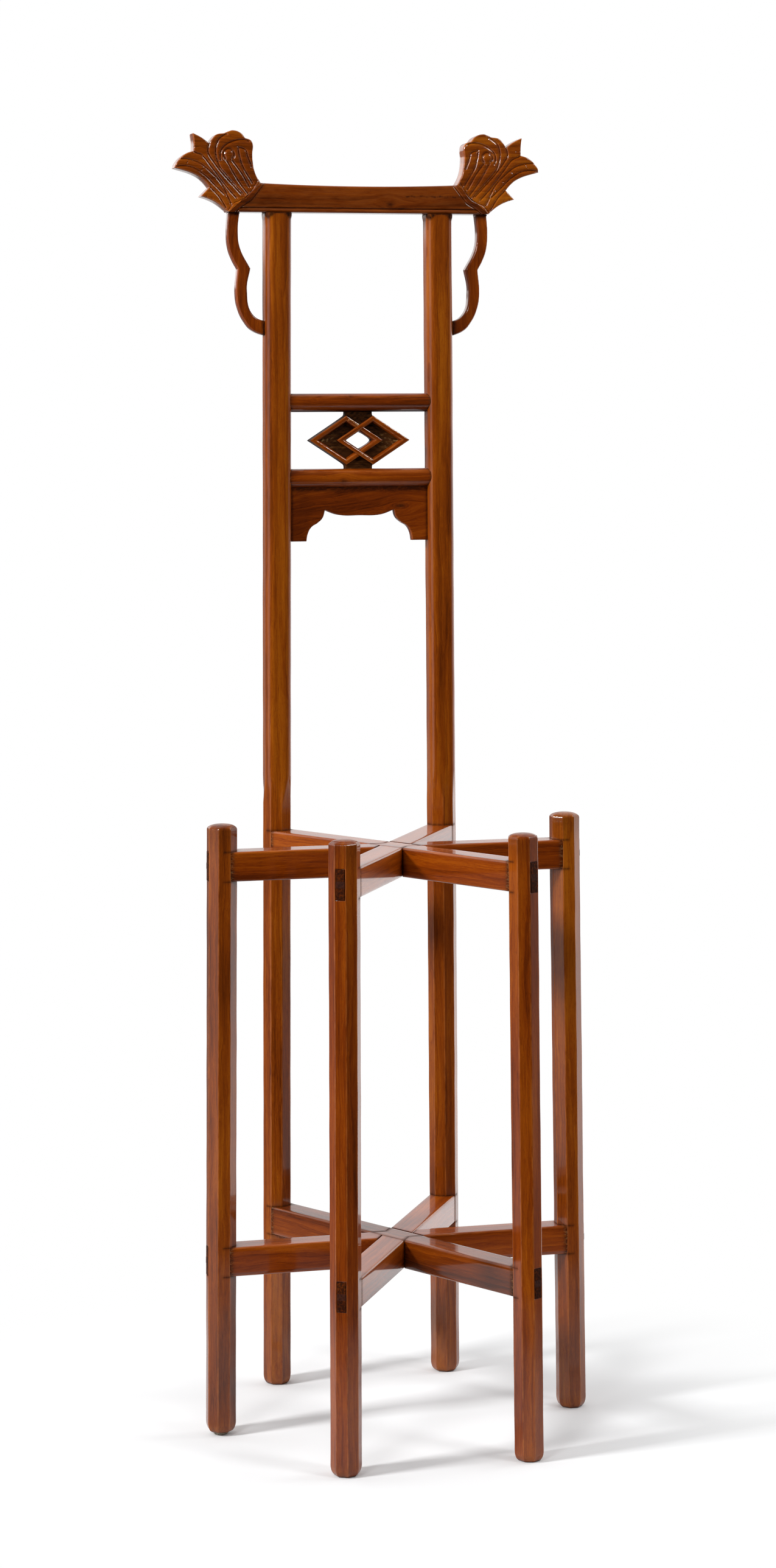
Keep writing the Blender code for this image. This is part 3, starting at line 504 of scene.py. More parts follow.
# Rings of a leg at their levels: octagons drawn in at the foot (quarter ellipse) and at the top
# (a dome with a superellipse section). A post turns into a soft square instead of ending.
def legRings(bottom, postTurn):
    isPost = postTurn is not None
    sweep = np.linspace(0, pi / 2, leg["footRings"])
    footZ = bottom + leg["footHeight"] * (1 - np.cos(sweep))
    footHalf = leg["half"] - leg["footInset"] * (1 - np.sin(sweep))
    nearRails = levelsNear(railEdges, leg["nearRails"])
    if isPost:
        end = stand["crestUnderside"] - post["play"]
        topZ = np.linspace(end - post["stopHeight"], end, post["stopRings"])[1:]
        topHalf = np.full(len(topZ), post["half"])
        topEdge = leg["edge"] * topHalf / leg["half"]
        extras = [nearRails, post["shaping"], levelsNear(post["backEdges"], post["nearBack"])]
        middleZ = levelsBetween(footZ[-1], end - post["stopHeight"], leg["stationStep"],
                                np.concatenate(extras))
    else:
        dome = np.linspace(*leg["domeSweep"], leg["domeRings"])
        topHalf = leg["half"] * np.cos(dome) ** (2 / leg["domePower"])
        topZ = leg["top"] - leg["domeHeight"] * (1 - np.sin(dome) ** (2 / leg["domePower"]))
        rounding = smoothStep(*leg["domeRounding"], dome)
        topEdge = topHalf * (leg["domeEdgeShare"] * (1 - rounding) + rounding)
        middleZ = levelsBetween(footZ[-1], leg["top"] - leg["domeHeight"], leg["stationStep"],
                                nearRails)
    levels = np.concatenate([footZ[:-1], middleZ, topZ])
    half = np.concatenate([footHalf[:-1], np.full(len(middleZ), leg["half"]), topHalf])
    edge = leg["edge"] * half / leg["half"]
    edge[-len(topZ):] = topEdge
    plan = rings(half, edge, octagonFactors())
    square = np.zeros((len(levels), 1))
    if isPost:
        low, high = post["shaping"]
        square[:, 0] = np.clip((levels - low) / (high - low), 0, 1)
        half = np.minimum(half, post["half"])
        stop = smoothStep(end - post["stopHeight"], end - post["stopFlat"], levels)
        edge = post["edge"] * half / post["half"] * (1 - stop) + post["stopEdge"] * stop
        soft = rings(half, edge, squareFactors(postTurn))
        plan = plan * (1 - square[..., None]) + soft * square[..., None]
    return levels[:, None], plan, square


# Slow waves round and along a leg, as hand planing leaves them: a mean of sines.
def planedWaves(tall, around, seed):
    draw = np.random.default_rng(seed)
    waves = [np.sin(tall / length * 2 * pi + around * lobes + draw.uniform(0, 6.28))
             for length, lobes in leg["waves"]]
    atFoot, atTop = leg["calmEnds"]
    calm = smoothStep(0, atFoot, tall) * smoothStep(0, atTop, tall[-1] - tall)
    return leg["wobble"] * (sum(waves) / len(waves) - leg["planedAway"]) * calm


# Dirt of a leg: under and above each rail on the inner flats, on the foot, low down and on the
# head, with painted shade below the basin tier, and dirt with painted shade in the corners of a post
# under the crest.
def legDirtAndShade(x, y, z, bottom, angle, isPost):
    dark, reach = leg["railDarkening"]
    layers = [dark * fading(np.abs(z - edge), reach) * (x < leg["innerSide"]) for edge in railEdges]
    dark, reach = leg["footDirt"]
    layers.append(dark * fading(z - bottom, reach))
    # painted shade below the basin tier, and dirt low down and on the head
    tier, low, head = (
        dark * smoothStep(start, stop, z)
        for dark, start, stop in (leg["basinTierShade"], leg["lowDarkening"], leg["headDirt"]))
    layers.append(tier + low)
    if isPost:
        end = stand["crestUnderside"] - post["play"]
        inward = turnedBy(np.stack([x, y, z], -1), angle)
        corner = np.minimum(np.abs(inward[..., 0]), np.abs(inward[..., 1])) / post["half"]
        spread, low = post["cornerSpread"]
        corner = corner + spread * smoothStep(end - low, end, z)
        # painted shade with dirt in the corners and along the top under the crest
        for (dark, low, high), share in (
                (post["cornerShadeAndDirt"], smoothStep(*post["cornerShares"], corner)), (post["topShadeAndDirt"], 1)):
            layers.append(dark * smoothStep(end - low, end - high, z) * share)
    else:
        layers.append(head)
    return largest(*layers)


# A leg: its rings moved a little in and out by the planing, with a fine recess round each tenon's
# end in the outer flat.
def legSkin(name, seed):
    turns = legPlaces[name]
    angle = turns * stand["legSpacing"]
    isPost = name.endswith("post")
    bottom = stand["packing"] if name == "left_leg" else 0.0
    tall, plan, square = legRings(bottom, pi / 2 * (angle // (pi / 2)) - angle if isPost else None)
    facing = octagonFactors()[1]
    around = np.arctan2(facing[:, 1], facing[:, 0])[None]
    plan = plan + facing[None] * planedWaves(tall, around, seed)[..., None]
    x, y = plan[..., 0], plan[..., 1]
    z = np.broadcast_to(tall, x.shape)
    outside = x > leg["half"] - leg["flatDepth"]
    tenon = tenonDistance(y, z)
    line = bell(tenon, leg["lineWidth"]) * outside
    x = x - leg["lineDepth"] * line
    dark, reach = leg["tenonDirt"]
    grime = largest(line, dark * fading(tenon, reach) * outside,
                    legDirtAndShade(x, y, z, bottom, angle, isPost))
    curve = 1 - np.abs((np.abs(np.arctan2(y, x)) / (pi / 4)) % 1 * 2 - 1)
    edgeWear, footWear = (
        worn * smoothStep(start, stop, value)
        for (worn, start, stop), value in ((leg["wornEdge"], curve), (leg["wornFoot"], z - bottom)))
    wear = largest(edgeWear * (1 - square), footWear)
    points = np.stack([x + legReach(z), y, z], -1)
    return loftSkin(turnedBy(points, angle), woodPlace(z, y, x, seed), grime, wear=wear)


for seed, legName in enumerate(legPlaces):
    wood = elm if legName.startswith("front") else goldenElm
    makePiece(legName + "_turned", legName, [legSkin(legName, 11 + seed)], wood)
print("legs and posts made")

rail = {
    "edge": 2.5,
    "sectionSteps": (4, 9, 10),    # points of a rounded corner, and between two across and up
    "inLap": (0.0, 8.0, 15.0),     # places of the rings in the lap, beside it and at the leg
    "besideLap": (0.0, 0.5, 1.3, 3.0, 6.0, 10.0),
    "evenFrom": 36.0,
    "stationStep": 6.0,
    "evenTo": -12.0,
    "atLeg": (-8.0, -5.0, -3.0, -1.5, -0.6, 0.0, 1.5, 4.0, 7.0, 10.0),
    "intoLeg": 2.0,          # short of the leg's middle
    "shearEnd": 62.0,        # from here on the rings stand square again
    "lapPlay": 0.2,
    "runs": ("left_to_right", "front_left_to_rear_right", "rear_left_to_front_right"),
    "darker": ("lower_rail_rear_left_to_front_right",),
    # dirt, wax and wear, each with its strength and its reach in mm
    "lapLine": (0.8, 0.9),
    "lapDirt": (0.5, 3.0),
    "copeDirt": (0.75, 1.8),
    "copeWax": (0.22, 0.8),
    "copeCurve": (10.0, 17.6),     # depth and half width of the dirt's curve round the leg
    "wornEdge": (0.5, 0.88, 0.96),
    "wornFrom": 0.9,         # share of the way to the nearer face
    "tenonProud": 0.35,
    "tenonStart": -6.0,      # from the leg's middle
    "tenonEdge": 0.4,
    "tenonPlay": 0.3,
    "tenonEase": (2.0, 0.3),       # its end is eased over these depths
    "easedEnd": (0.94, 1 - 0.3 / 17),      # shares of its width and height there
    "tenonSteps": (2, 6, 16),
    "tenonGrime": (0.6, 0.9, 1.0, 0.90),
}


# A rounded rectangle round its middle: four quarter circles and the straight points between.
def roundedBox(width, height, radius, cornerPoints, acrossSteps, upSteps):
    signs = np.array([(1, 1), (-1, 1), (-1, -1), (1, -1)])
    angles = [quarter * pi / 2 + np.linspace(0, pi / 2, cornerPoints) for quarter in range(4)]
    middles = signs * (width / 2 - radius, height / 2 - radius)
    arcs = [middle + radius * np.stack([np.cos(angle), np.sin(angle)], -1)
            for middle, angle in zip(middles, angles)]
    outline = []
    for arc, following, steps in zip(arcs, np.roll(arcs, -1, 0), (acrossSteps, upSteps) * 2):
        share = np.linspace(0, 1, steps + 2)[1:-1, None]
        outline += [arc, arc[-1] * (1 - share) + following[0] * share]
    return np.concatenate(outline)


# A rail: rounded rectangles along the run. In the lap the section is clipped to its own third,
# and the rings lean so that the ends of the lap follow the sides of the rails that cross it.
def railSkin(layer, top, seed):
    halfWidth, halfHeight = stand["railWidth"] / 2, stand["railHeight"] / 2
    middle, third = top - halfHeight, stand["railHeight"] / 3
    section = roundedBox(
        stand["railWidth"], stand["railHeight"], rail["edge"], *rail["sectionSteps"])
    across, up = section[:, 0][None], section[:, 1][None]
    lapEdge = (halfWidth + rail["lapPlay"]) / sin(stand["legSpacing"])
    inner = legReach(middle) - leg["half"]
    inLapPlaces = [*rail["inLap"], lapEdge]
    half = np.concatenate([
        inLapPlaces, lapEdge + np.array(rail["besideLap"]),
        np.arange(rail["evenFrom"], inner + rail["evenTo"], rail["stationStep"]),
        inner + np.array(rail["atLeg"]), [legReach(middle) - rail["intoLeg"]],
    ])
    lap = np.arange(len(half)) < len(inLapPlaces)
    run = np.concatenate([-half[:0:-1], half])[:, None]
    inLap = np.concatenate([lap[:0:-1], lap])[:, None]
    away = np.abs(run)
    shear = 1 / tan(stand["legSpacing"])
    fade = np.clip((rail["shearEnd"] - away) / (rail["shearEnd"] - lapEdge), 0, 1)
    if layer == 1:
        along = run + fade * shear * across * up / halfHeight
    else:
        fade = np.where(away < lapEdge, away / lapEdge, fade)
        along = run + np.sign(run) * fade * shear * np.abs(across)
    low = third * layer - halfHeight + rail["lapPlay"] / 2
    height = np.where(inLap, np.clip(up, low, low + third - rail["lapPlay"]), up) + middle
    across = np.broadcast_to(across, along.shape)
    toLap = away - lapEdge
    curveDepth, curveHalf = rail["copeCurve"]
    curve = 1 - np.sqrt(np.clip(1 - (across / curveHalf) ** 2, 0, 1))
    cope = inner - away + curveDepth * curve
    line, lineReach = rail["lapLine"]
    darkening, dirtReach = rail["lapDirt"]
    dark, reach = rail["copeDirt"]
    grime = largest(
        line * fading(np.abs(toLap), lineReach) + darkening * fading(toLap, dirtReach) * (toLap > 0),
        dark * fading(cope, reach))
    pale, reach = rail["copeWax"]
    shares = np.stack([np.abs(across) / halfWidth, np.abs(height - middle) / halfHeight])
    worn, start, stop = rail["wornEdge"]
    wear = worn * smoothStep(start, stop, shares.min(0)) * (shares.max(0) > rail["wornFrom"])
    points = np.stack([along, across, height], -1)
    place = woodPlace(along, across, height - middle, seed)
    return loftSkin(turnedBy(points, layer * stand["legSpacing"]), place, grime,
                    pale * fading(cope, reach), wear)


# An oblong bar of several rings that ends in a leg's leaning outer flat: its reach from the leg's
# middle, and the width and height of its section, are given ring by ring.
def barThrough(section, reach, widths, heights, middle):
    across, up = section[:, 0] * widths[:, None], section[:, 1] * heights[:, None] + middle
    return np.stack([legReach(up) + reach[:, None], across, up], -1)


# A tenon: a bar through the leg, cut flush with the outer flat and a little eased at its end.
def tenonSkin(layer, side, top, seed):
    middle = top - stand["railHeight"] / 2
    width, height = stand["tenonWidth"] - rail["tenonPlay"], stand["railHeight"] - rail["tenonPlay"]
    section = roundedBox(width, height, rail["tenonEdge"], *rail["tenonSteps"])
    flat = leg["half"] + rail["tenonProud"]
    reach = np.array([rail["tenonStart"], *(flat - ease for ease in rail["tenonEase"]), flat])
    widths, heights = (np.array([1.0, 1.0, 1.0, share]) for share in rail["easedEnd"])
    points = barThrough(section, reach, widths, heights, middle)
    points[..., :2] *= side
    grime = np.array(rail["tenonGrime"])[:, None]
    place = woodPlace(points[..., 0], points[..., 1], points[..., 2] - middle, seed)
    return loftSkin(turnedBy(points, layer * stand["legSpacing"]), place, grime)


for tierIndex, (tier, tierTop) in enumerate(zip(("lower", "upper"), railTops)):
    for layer, run in enumerate(rail["runs"]):
        nodeName = f"{tier}_rail_{run}"
        seed = 31 + 5 * tierIndex + layer
        parts = [railSkin(layer, tierTop, seed)]
        parts += [tenonSkin(layer, side, tierTop, seed) for side in (1, -1)]
        wood = darkElm if nodeName in rail["darker"] else elm
        makePiece(nodeName + "_planed", nodeName, parts, wood)
print("rails made")

wedge = {
    "length": 22.0,
    "thick": 8.0,
    "tip": 2.0,
    "wider": 0.1,            # than the tenon
    "proud": 0.55,
    "drop": 14.0,            # below the tenon's upper edge
    "ease": (0.4, 0.96, 0.5),      # of its end: depth, share of the width, and mm of the thickness
    "steps": (2, 7, 4),
}


# A wedge: a bar that thickens towards the outer flat.
def wedgeSkin(turns, top, seed):
    middle = top - wedge["drop"] - wedge["thick"] / 2
    section = roundedBox(stand["tenonWidth"] + wedge["wider"], 1.0, 0.1, *wedge["steps"])
    face = leg["half"] + wedge["proud"]
    depth, narrower, thinner = wedge["ease"]
    reach = np.array([face - wedge["length"], face - depth, face])
    thick = np.array([wedge["tip"], wedge["thick"], wedge["thick"] - thinner])
    points = barThrough(section, reach, np.array([1.0, 1.0, narrower]), thick, middle)
    place = woodPlace(points[..., 0], points[..., 1], points[..., 2] - middle, seed)
    return loftSkin(turnedBy(points, turns * stand["legSpacing"]), place)


for legName, turns in legPlaces.items():
    for tier, tierTop in zip(("lower", "upper"), railTops):
        nodeName = f"{legName}_{tier}_wedge"
        skin = wedgeSkin(turns, tierTop, 60 + turns)
        makePiece(nodeName + "_driven", nodeName, [skin], endGrain)

pad = {
    "radius": 8.9,
    "inset": 0.45,
    "waves": ((0.035, 3, 1), (0.025, 7, 0)),     # share of the radius, lobes and start
    "frayed": (0.12, 17),
    # height from the nearer face and inset of the rings that round the rim
    "rounding": ((0.0, 0.5), (0.15, 0.15), (0.6, 0.0)),
}


# The pad: a disc whose rim wanders in and out, with a small round at top and bottom.
def padSkin():
    angle = np.linspace(0, 2 * pi, 64, endpoint=False)[None]
    waves = sum(share * np.sin(lobes * angle + start) for share, lobes, start in pad["waves"])
    frayed, threads = pad["frayed"]
    rim = pad["radius"] * (1 + waves) - pad["inset"] - frayed * np.sin(threads * angle)
    heights, insets = np.array(pad["rounding"]).T
    level = np.concatenate([heights, stand["packing"] - heights[::-1]])[:, None]
    radius = rim - np.concatenate([insets, insets[::-1]])[:, None]
    points = np.stack([radius * np.cos(angle) - stand["footRadius"], radius * np.sin(angle),
                       level + 0 * radius], -1)
    return loftSkin(points, points * 0.001)


makePiece("foot_pad_worn", "foot_pad", [padSkin()], packing)
print("wedges and pad made")


# Points of a closed outline through (x, z, kind), evenly spaced: a Bezier curve whose smooth
# points have rounded handles and whose corners have straight ones.
def tracedOutline(points, spacing=1.5):
    curve = bpy.data.curves.new("outline", "CURVE")
    curve.dimensions = "3D"
    curve.resolution_u = 16
    spline = curve.splines.new("BEZIER")
    spline.bezier_points.add(len(points) - 1)
    spline.use_cyclic_u = True
    for target, (x, z, kind) in zip(spline.bezier_points, points):
        handle = "VECTOR" if kind == "corner" else "AUTO"
        target.co = (x, 0, z)
        target.handle_left_type = target.handle_right_type = handle
    holder = bpy.data.objects.new("outline", curve)
    bpy.context.scene.collection.objects.link(holder)
    bpy.context.view_layer.update()
    drawn = holder.evaluated_get(bpy.context.evaluated_depsgraph_get()).to_mesh()
    line = np.array([vertex.co for vertex in drawn.vertices])[:, (0, 2)]
    bpy.data.objects.remove(holder)
    bpy.data.curves.remove(curve)
    following = np.roll(line, -1, 0)
    pieces = np.maximum(np.ceil(np.linalg.norm(following - line, axis=1) / spacing), 1).astype(int)
    return np.concatenate([
        start + (end - start) * np.linspace(0, 1, count, endpoint=False)[:, None]
        for start, end, count in zip(line, following, pieces)
    ])


# Distance from points to straight steps, the nearest place on them, and which side of that step
# the point is on (1 to the left of its direction).
def stepDistance(points, starts, ends):
    best = np.full(len(points), 1e9)
    nearest = np.zeros((len(points), 2))
    side = np.ones(len(points))
    for start, end in zip(starts, ends):
        step = end - start
        share = np.clip(((points - start) @ step) / (step @ step), 0, 1)
        place = start + share[:, None] * step
        away = points - place
        distance = np.hypot(away[:, 0], away[:, 1])
        closer = distance < best
        best[closer] = distance[closer]
        nearest[closer] = place[closer]
        turn = step[0] * away[:, 1] - step[1] * away[:, 0]
        side[closer] = np.sign(turn[closer])
    return best, nearest, side


# The same for a chain of places.
def chainDistance(points, chain):
    return stepDistance(points, chain[:-1], chain[1:])


# True where a level line from the point crosses the loops an odd number of times.
def insideLoops(points, loops):
    inside = np.zeros(len(points), bool)
    across, up = points.T
    for loop in loops:
        for (x0, z0), (x1, z1) in zip(loop, np.roll(loop, -1, 0)):
            if z0 != z1:
                crosses = (z0 > up) != (z1 > up)
                inside ^= crosses & (across < x0 + (up - z0) / (z1 - z0) * (x1 - x0))
    return inside


board = {
    # in cells: margin of the grid, how far a cell may reach past the outline, how near to it a
    # point is moved onto it, and the smallest area that is kept there
    "margin": 0.3,
    "past": 0.45,
    "near": 0.42,
    "least": 0.12,
    "wallSteps": 4,
    "wornRim": (1.8, 0.4),   # mm from the rim
    "knotParting": 2.2,
    "openRim": 9.0,          # taken as the distance where a rim isn't rounded
}


# A board sawn to an outline: a square grid whose cells outside the outline are left off and whose
# rim is moved onto it, a front and a back whose heights are functions of the place and of the
# distance to the rim, and a wall of a few rows between the two.
def boardSkin(loops, cell, frontOf, backOf, grimeOf, seed, grainTurn=0.0, rimWear=0.4,
              waxAndGlintsOf=lambda x, z, rim: 0.0, knots=(), wallGrime=0.0):
    starts = np.concatenate(loops)
    ends = np.concatenate([np.roll(loop, -1, 0) for loop in loops])
    low, high = starts.min(0) - cell * board["margin"], starts.max(0) + cell
    xs, zs = np.arange(low[0], high[0], cell), np.arange(low[1], high[1], cell)
    grid = np.stack(np.meshgrid(xs, zs, indexing="ij"), -1).reshape(-1, 2)
    distance, nearest, _ = stepDistance(grid, starts, ends)
    signed = np.where(insideLoops(grid, loops), distance, -distance)
    rows = len(zs)
    corner = (np.arange(len(xs) - 1)[:, None] * rows + np.arange(rows - 1)[None]).reshape(-1)
    quads = np.stack([corner, corner + rows, corner + rows + 1, corner + 1], -1)
    quads = quads[(signed[quads] > -board["past"] * cell).all(1)]
    used = np.bincount(quads.reshape(-1), minlength=len(grid))
    onRim = ((used > 0) & (used < 4)) | (signed < board["near"] * cell)
    flat = np.where(onRim[:, None], nearest, grid)
    signed = np.where(onRim, 0.0, signed)
    shape = flat[quads]
    one, other = shape[:, 2] - shape[:, 0], shape[:, 3] - shape[:, 1]
    area = 0.5 * (one[:, 0] * other[:, 1] - one[:, 1] * other[:, 0])
    quads = quads[~(onRim[quads].all(1) & (area < board["least"] * cell * cell))]
    kept = np.unique(quads)
    number = np.full(len(grid), -1)
    number[kept] = np.arange(len(kept))
    quads, rim = number[quads], signed[kept]
    x, z = flat[kept].T
    front, back = frontOf(x, z, rim), backOf(x, z, rim)
    count = len(kept)
    # edges of the rim belong to one cell only
    edges = np.stack([quads, np.roll(quads, -1, 1)], -1).reshape(-1, 2)
    key = np.sort(edges, 1) @ np.array([count, 1])
    _, first, times = np.unique(key, return_index=True, return_counts=True)
    rimEdges = edges[first[times == 1]]
    rimPoints, inverse = np.unique(rimEdges, return_inverse=True)
    rimIndex = inverse.reshape(rimEdges.shape)
    share = np.linspace(0, 1, board["wallSteps"] + 1)[1:-1][:, None]
    depth = -front[rimPoints] * (1 - share) + back[rimPoints] * share
    wall = np.stack(np.broadcast_arrays(x[rimPoints], depth, z[rimPoints]), -1).reshape(-1, 3)
    points = np.concatenate([np.stack([x, -front, z], -1), np.stack([x, back, z], -1), wall])
    layers = [2 * count + row * len(rimPoints) + rimIndex for row in range(len(share))]
    layers = [rimEdges, *layers, rimEdges + count]
    walls = [np.concatenate([upper[:, ::-1], lower], 1) for upper, lower in zip(layers, layers[1:])]
    along = points[:, 0] * cos(grainTurn) + points[:, 2] * sin(grainTurn)
    across = points[:, 2] * cos(grainTurn) - points[:, 0] * sin(grainTurn)
    turned = [(middle, level * cos(grainTurn) - middle * sin(grainTurn), length, width)
              for middle, level, length, width in knots]
    across = roundKnots(points[:, 0], across, turned, board["knotParting"])
    grime = knotStain(points[:, 0], points[:, 2], knots)
    grime[:count] = np.maximum(grime[:count], grimeOf(x, z, rim))
    grime[2 * count:] = wallGrime
    wax, wear = np.zeros((2, len(points)))
    wax[:count] = waxAndGlintsOf(x, z, rim)
    wear[:count] = rimWear * smoothStep(*board["wornRim"], rim)
    return {
        "points": leanBack(points), "faces": [quads, quads[:, ::-1] + count, *walls],
        "grain": woodPlace(along, across, points[:, 1], seed),
        "grime": grime, "wax": wax, "wear": wear,
    }


# How far a rounded edge falls back: the radius less the root of its square less the square of
# what is left of it at this distance from the rim.
def roundedRim(distance, radius):
    inside = np.clip(radius - distance, 0, radius)
    return radius - np.sqrt(np.maximum(radius * radius - inside * inside, 0))


# Other side of the back: the same skin mirrored, from another place along the grain in metres.
# makePiece turns its faces outwards again.
def mirroredSkin(skin, shift):
    grain = skin["grain"] + np.array([shift, 0.004, 0.0])
    return {**skin, "points": skin["points"] * (-1, 1, 1), "grain": grain}


crest = {
    "height": 35.7,
    "sag": 2.7,
    "thick": 25.0,
    "lowerHalf": 165.5,
    "upperHalf": 125.2,
    "edge": 3.0,
    "backEdge": 1.8,         # the lower edge behind
    "fineFrom": 0.66,        # share of the half length from which the stations are close
    "coarseStations": 40,
    "fineStations": 110,
    "rows": (60, 4, 7, 14, 8),     # front, each rounded edge, top, back and underside
    "bead": 2.2,
    "beadProud": 1.0,
    "grooveAt": 5.3,         # above the underside
    "grooveDepth": 1.3,
    "grooveWidth": 0.65,
    "swell": (0.35, 6.0, 35.0),    # of the front: height, from and to
    "collarRise": 1.3,
    "collarEase": (-0.2, 1.4),
    "collarGroove": 1.0,
    "collarGrooveWidth": 0.95,
    "knot": (39.5, 1505.0, 4.6, 2.8),
    "knotParting": 3.0,
    # a run of dark pits: from and to, fade, height above the underside and width
    "pitted": (54.0, 142.0, 8.0, 21.0, 1.3),
    "pitWaves": ((1.9, 0.0, 0), (0.73, 1.0, 0), (3.1, 0.0, 1)),    # along, start and up
    "pitLine": (0.4, 0.5),   # its own slow wave
    "pitShades": (0.45, 0.4, -0.5, 1.2),   # least, how much more, and between which waves
    "grooveDirt": (0.5, 0.8),      # strength and width
    "wornTop": (0.45, 1.5, 1.2),   # strength, width, and depth below the top
    # strength, the distances from a level between which it grows, and how far that is sunk
    "wornCollar": (0.4, 0.55, 0.2, 0.35),
}
# edges of the raised collar at the joint, seen from the front: x and height above the underside
collarInner = np.array([
    (119.7, 37.5), (122.5, 33.3), (129.8, 23.9), (137.4, 14.4), (145.5, 9.0), (152.5, 4.1),
    (158.6, -1.4)])
collarOuter = np.array([
    (130.0, 37.8), (133.0, 33.1), (136.2, 27.6), (140.9, 21.6), (145.5, 17.3), (152.5, 13.8),
    (159.5, 10.8), (163.0, 6.9), (168.2, 0.3)])

crestSlope = (crest["lowerHalf"] - crest["upperHalf"]) / crest["height"]


# A smooth chain through a few points, sampled finely (Catmull-Rom).
def smoothChain(points, steps=8):
    points = np.asarray(points, float)
    ends = np.concatenate([[2 * points[0] - points[1]], points, [2 * points[-1] - points[-2]]])
    share = np.linspace(0, 1, steps, endpoint=False)[None, :, None]
    a, b, c, d = (ends[place:len(ends) - 3 + place][:, None] for place in range(4))
    line = 0.5 * (2 * b + (c - a) * share + (2 * a - 5 * b + 4 * c - d) * share ** 2
                  + (3 * b - a - 3 * c + d) * share ** 3)
    return np.concatenate([line.reshape(-1, 2), points[-1:]])


# Distance past (positive) or short of the collar's inner and of its outer edge.
def collarDistances(x, height):
    places = np.stack([np.abs(x), height], -1).reshape(-1, 2)
    found = [chainDistance(places, smoothChain(edge)) for edge in (collarInner, collarOuter)]
    return [(distance * side).reshape(x.shape) for distance, _, side in found]


# Rise of the collar over the front: a flat band between its two edges, with a groove along each.
def collarRise(inner, outer):
    band = crest["collarRise"] * smoothStep(*crest["collarEase"], np.minimum(inner, -outer))
    toEdge = np.minimum(np.abs(inner), np.abs(outer))
    return band - crest["collarGroove"] * bell(toEdge, crest["collarGrooveWidth"])


# The crest bar: one outline in depth and height carried along the bar. Its stations lean with
# the slanting ends, its top sags, and the front carries bead, groove and collars.
def crestSkin(seed):
    half, edge, top = crest["thick"] / 2, crest["edge"], crest["height"]
    share = np.concatenate([
        np.linspace(0, crest["fineFrom"], crest["coarseStations"], endpoint=False),
        np.linspace(crest["fineFrom"], 1, crest["fineStations"])])
    share = np.concatenate([-share[:0:-1], share])[:, None]
    frontRows, arcRows, topRows, backRows, lowRows = crest["rows"]
    arc = np.linspace(0, pi / 2, arcRows + 2)[1:-1]
    depth = np.concatenate([
        np.full(frontRows, -half), -half + edge * (1 - np.cos(arc)),
        np.linspace(-half + edge, half - edge, topRows), half - edge * (1 - np.sin(arc)),
        np.full(backRows, half), np.linspace(half - crest["backEdge"], -half + 0.3, lowRows)])
    height = np.concatenate([
        np.linspace(0.25, top - edge, frontRows), top - edge * (1 - np.sin(arc)),
        np.full(topRows, top), top - edge * (1 - np.cos(arc)),
        np.linspace(top - edge, crest["backEdge"], backRows), np.zeros(lowRows)])
    onFront = np.arange(len(depth)) < frontRows + arcRows
    x = share * (crest["lowerHalf"] - crestSlope * height)
    sag = crest["sag"] * (1 - np.clip(np.abs(x) / crest["upperHalf"], 0, 1) ** 2)
    tall = height * (1 - sag / top)
    bead = np.sqrt(np.clip(crest["bead"] ** 2 - (tall - crest["bead"]) ** 2, 0, None))
    bead = np.where(tall < 2 * crest["bead"], bead - crest["bead"] + crest["beadProud"], 0.0)
    toGroove = tall - crest["grooveAt"]
    groove = crest["grooveDepth"] * bell(toGroove, crest["grooveWidth"])
    inner, outer = collarDistances(x, tall)
    rise = collarRise(inner, outer)
    swell, low, high = crest["swell"]
    swell = swell * np.sin(np.clip((tall - low) / (high - low), 0, 1) * pi)
    front = np.where(inner > 0, rise, bead - groove + swell + np.minimum(rise, 0))
    y = depth - np.where(onFront, front, 0)
    z = tall + stand["crestUnderside"]
    start, stop, fade, level, width = crest["pitted"]
    within = smoothStep(start, start + fade, x) * smoothStep(stop, stop - fade, x)
    pits = sum(np.sin(x * along + begin + tall * up) for along, begin, up in crest["pitWaves"])
    lift, turns = crest["pitLine"]
    pitted = within * bell(tall - level - lift * np.sin(x * turns), width)
    least, more, low, high = crest["pitShades"]
    dark, width = crest["grooveDirt"]
    grime = onFront * largest(
        dark * bell(toGroove, width) * (inner <= 0), knotStain(x, z, (crest["knot"],)),
        pitted * (least + more * smoothStep(low, high, pits)))
    worn, width, down = crest["wornTop"]
    rubbed, low, high, sunk = crest["wornCollar"]
    wear = onFront * largest(
        worn * bell(tall - (top - down), width), rubbed * smoothStep(low, high, np.abs(rise + sunk)))
    place = woodPlace(x, roundKnots(x, z, (crest["knot"],), crest["knotParting"]), y, seed)
    return loftSkin(leanBack(np.stack([x, y, z], -1)), place, grime, wear=wear)


makePiece("crest_rail_moulded", "crest_rail", [crestSkin(81)], darkElm, 50)

carving = {
    "length": 107.0,
    "height": 99.18,
    "thick": 25.0,
    "edge": 1.6,
    "cell": 0.5,
    "play": 0.3,             # at the joint with the bar
    "grainTurn": 0.06,
    "groove": 1.0,           # depth of the cut lines
    "grooveWidth": 0.95,
    "ramp": 0.9,             # one side of each cut is eased away, as deep as this
    "rampWidth": 3.8,
    "pillow": 0.35,          # the ribs between the cuts swell by this
    "pillowReach": 2.5,
    "nick": 0.6,
    "nickWidth": 0.55,
    "knob": (40.0, 69.9),    # from the inner top corner of the joint and from the underside
    "knobRadius": 4.9,
    "knobRise": 1.0,
    "knobFoot": 0.3,         # it starts this far under the face
    "ringRadius": 6.6,
    "ringWidth": 1.0,
    "ringDepth": 1.5,
    "ringOpen": (-0.75, -0.95),    # the ring runs out below the knob, as sines
    "plainRound": 2.2,       # so near to the ring the cut lines have no slope
    "shallower": 0.3,        # and are only so deep
    "openJoint": 2.5,        # the rim stays square so near to the bar
    # dirt, with its strength and width in mm
    "cutDirt": (0.12, 0.45),
    "ringDirt": (0.3, 0.6),
}
knobMiddle = np.array([crest["upperHalf"] + carving["knob"][0], carving["knob"][1]])
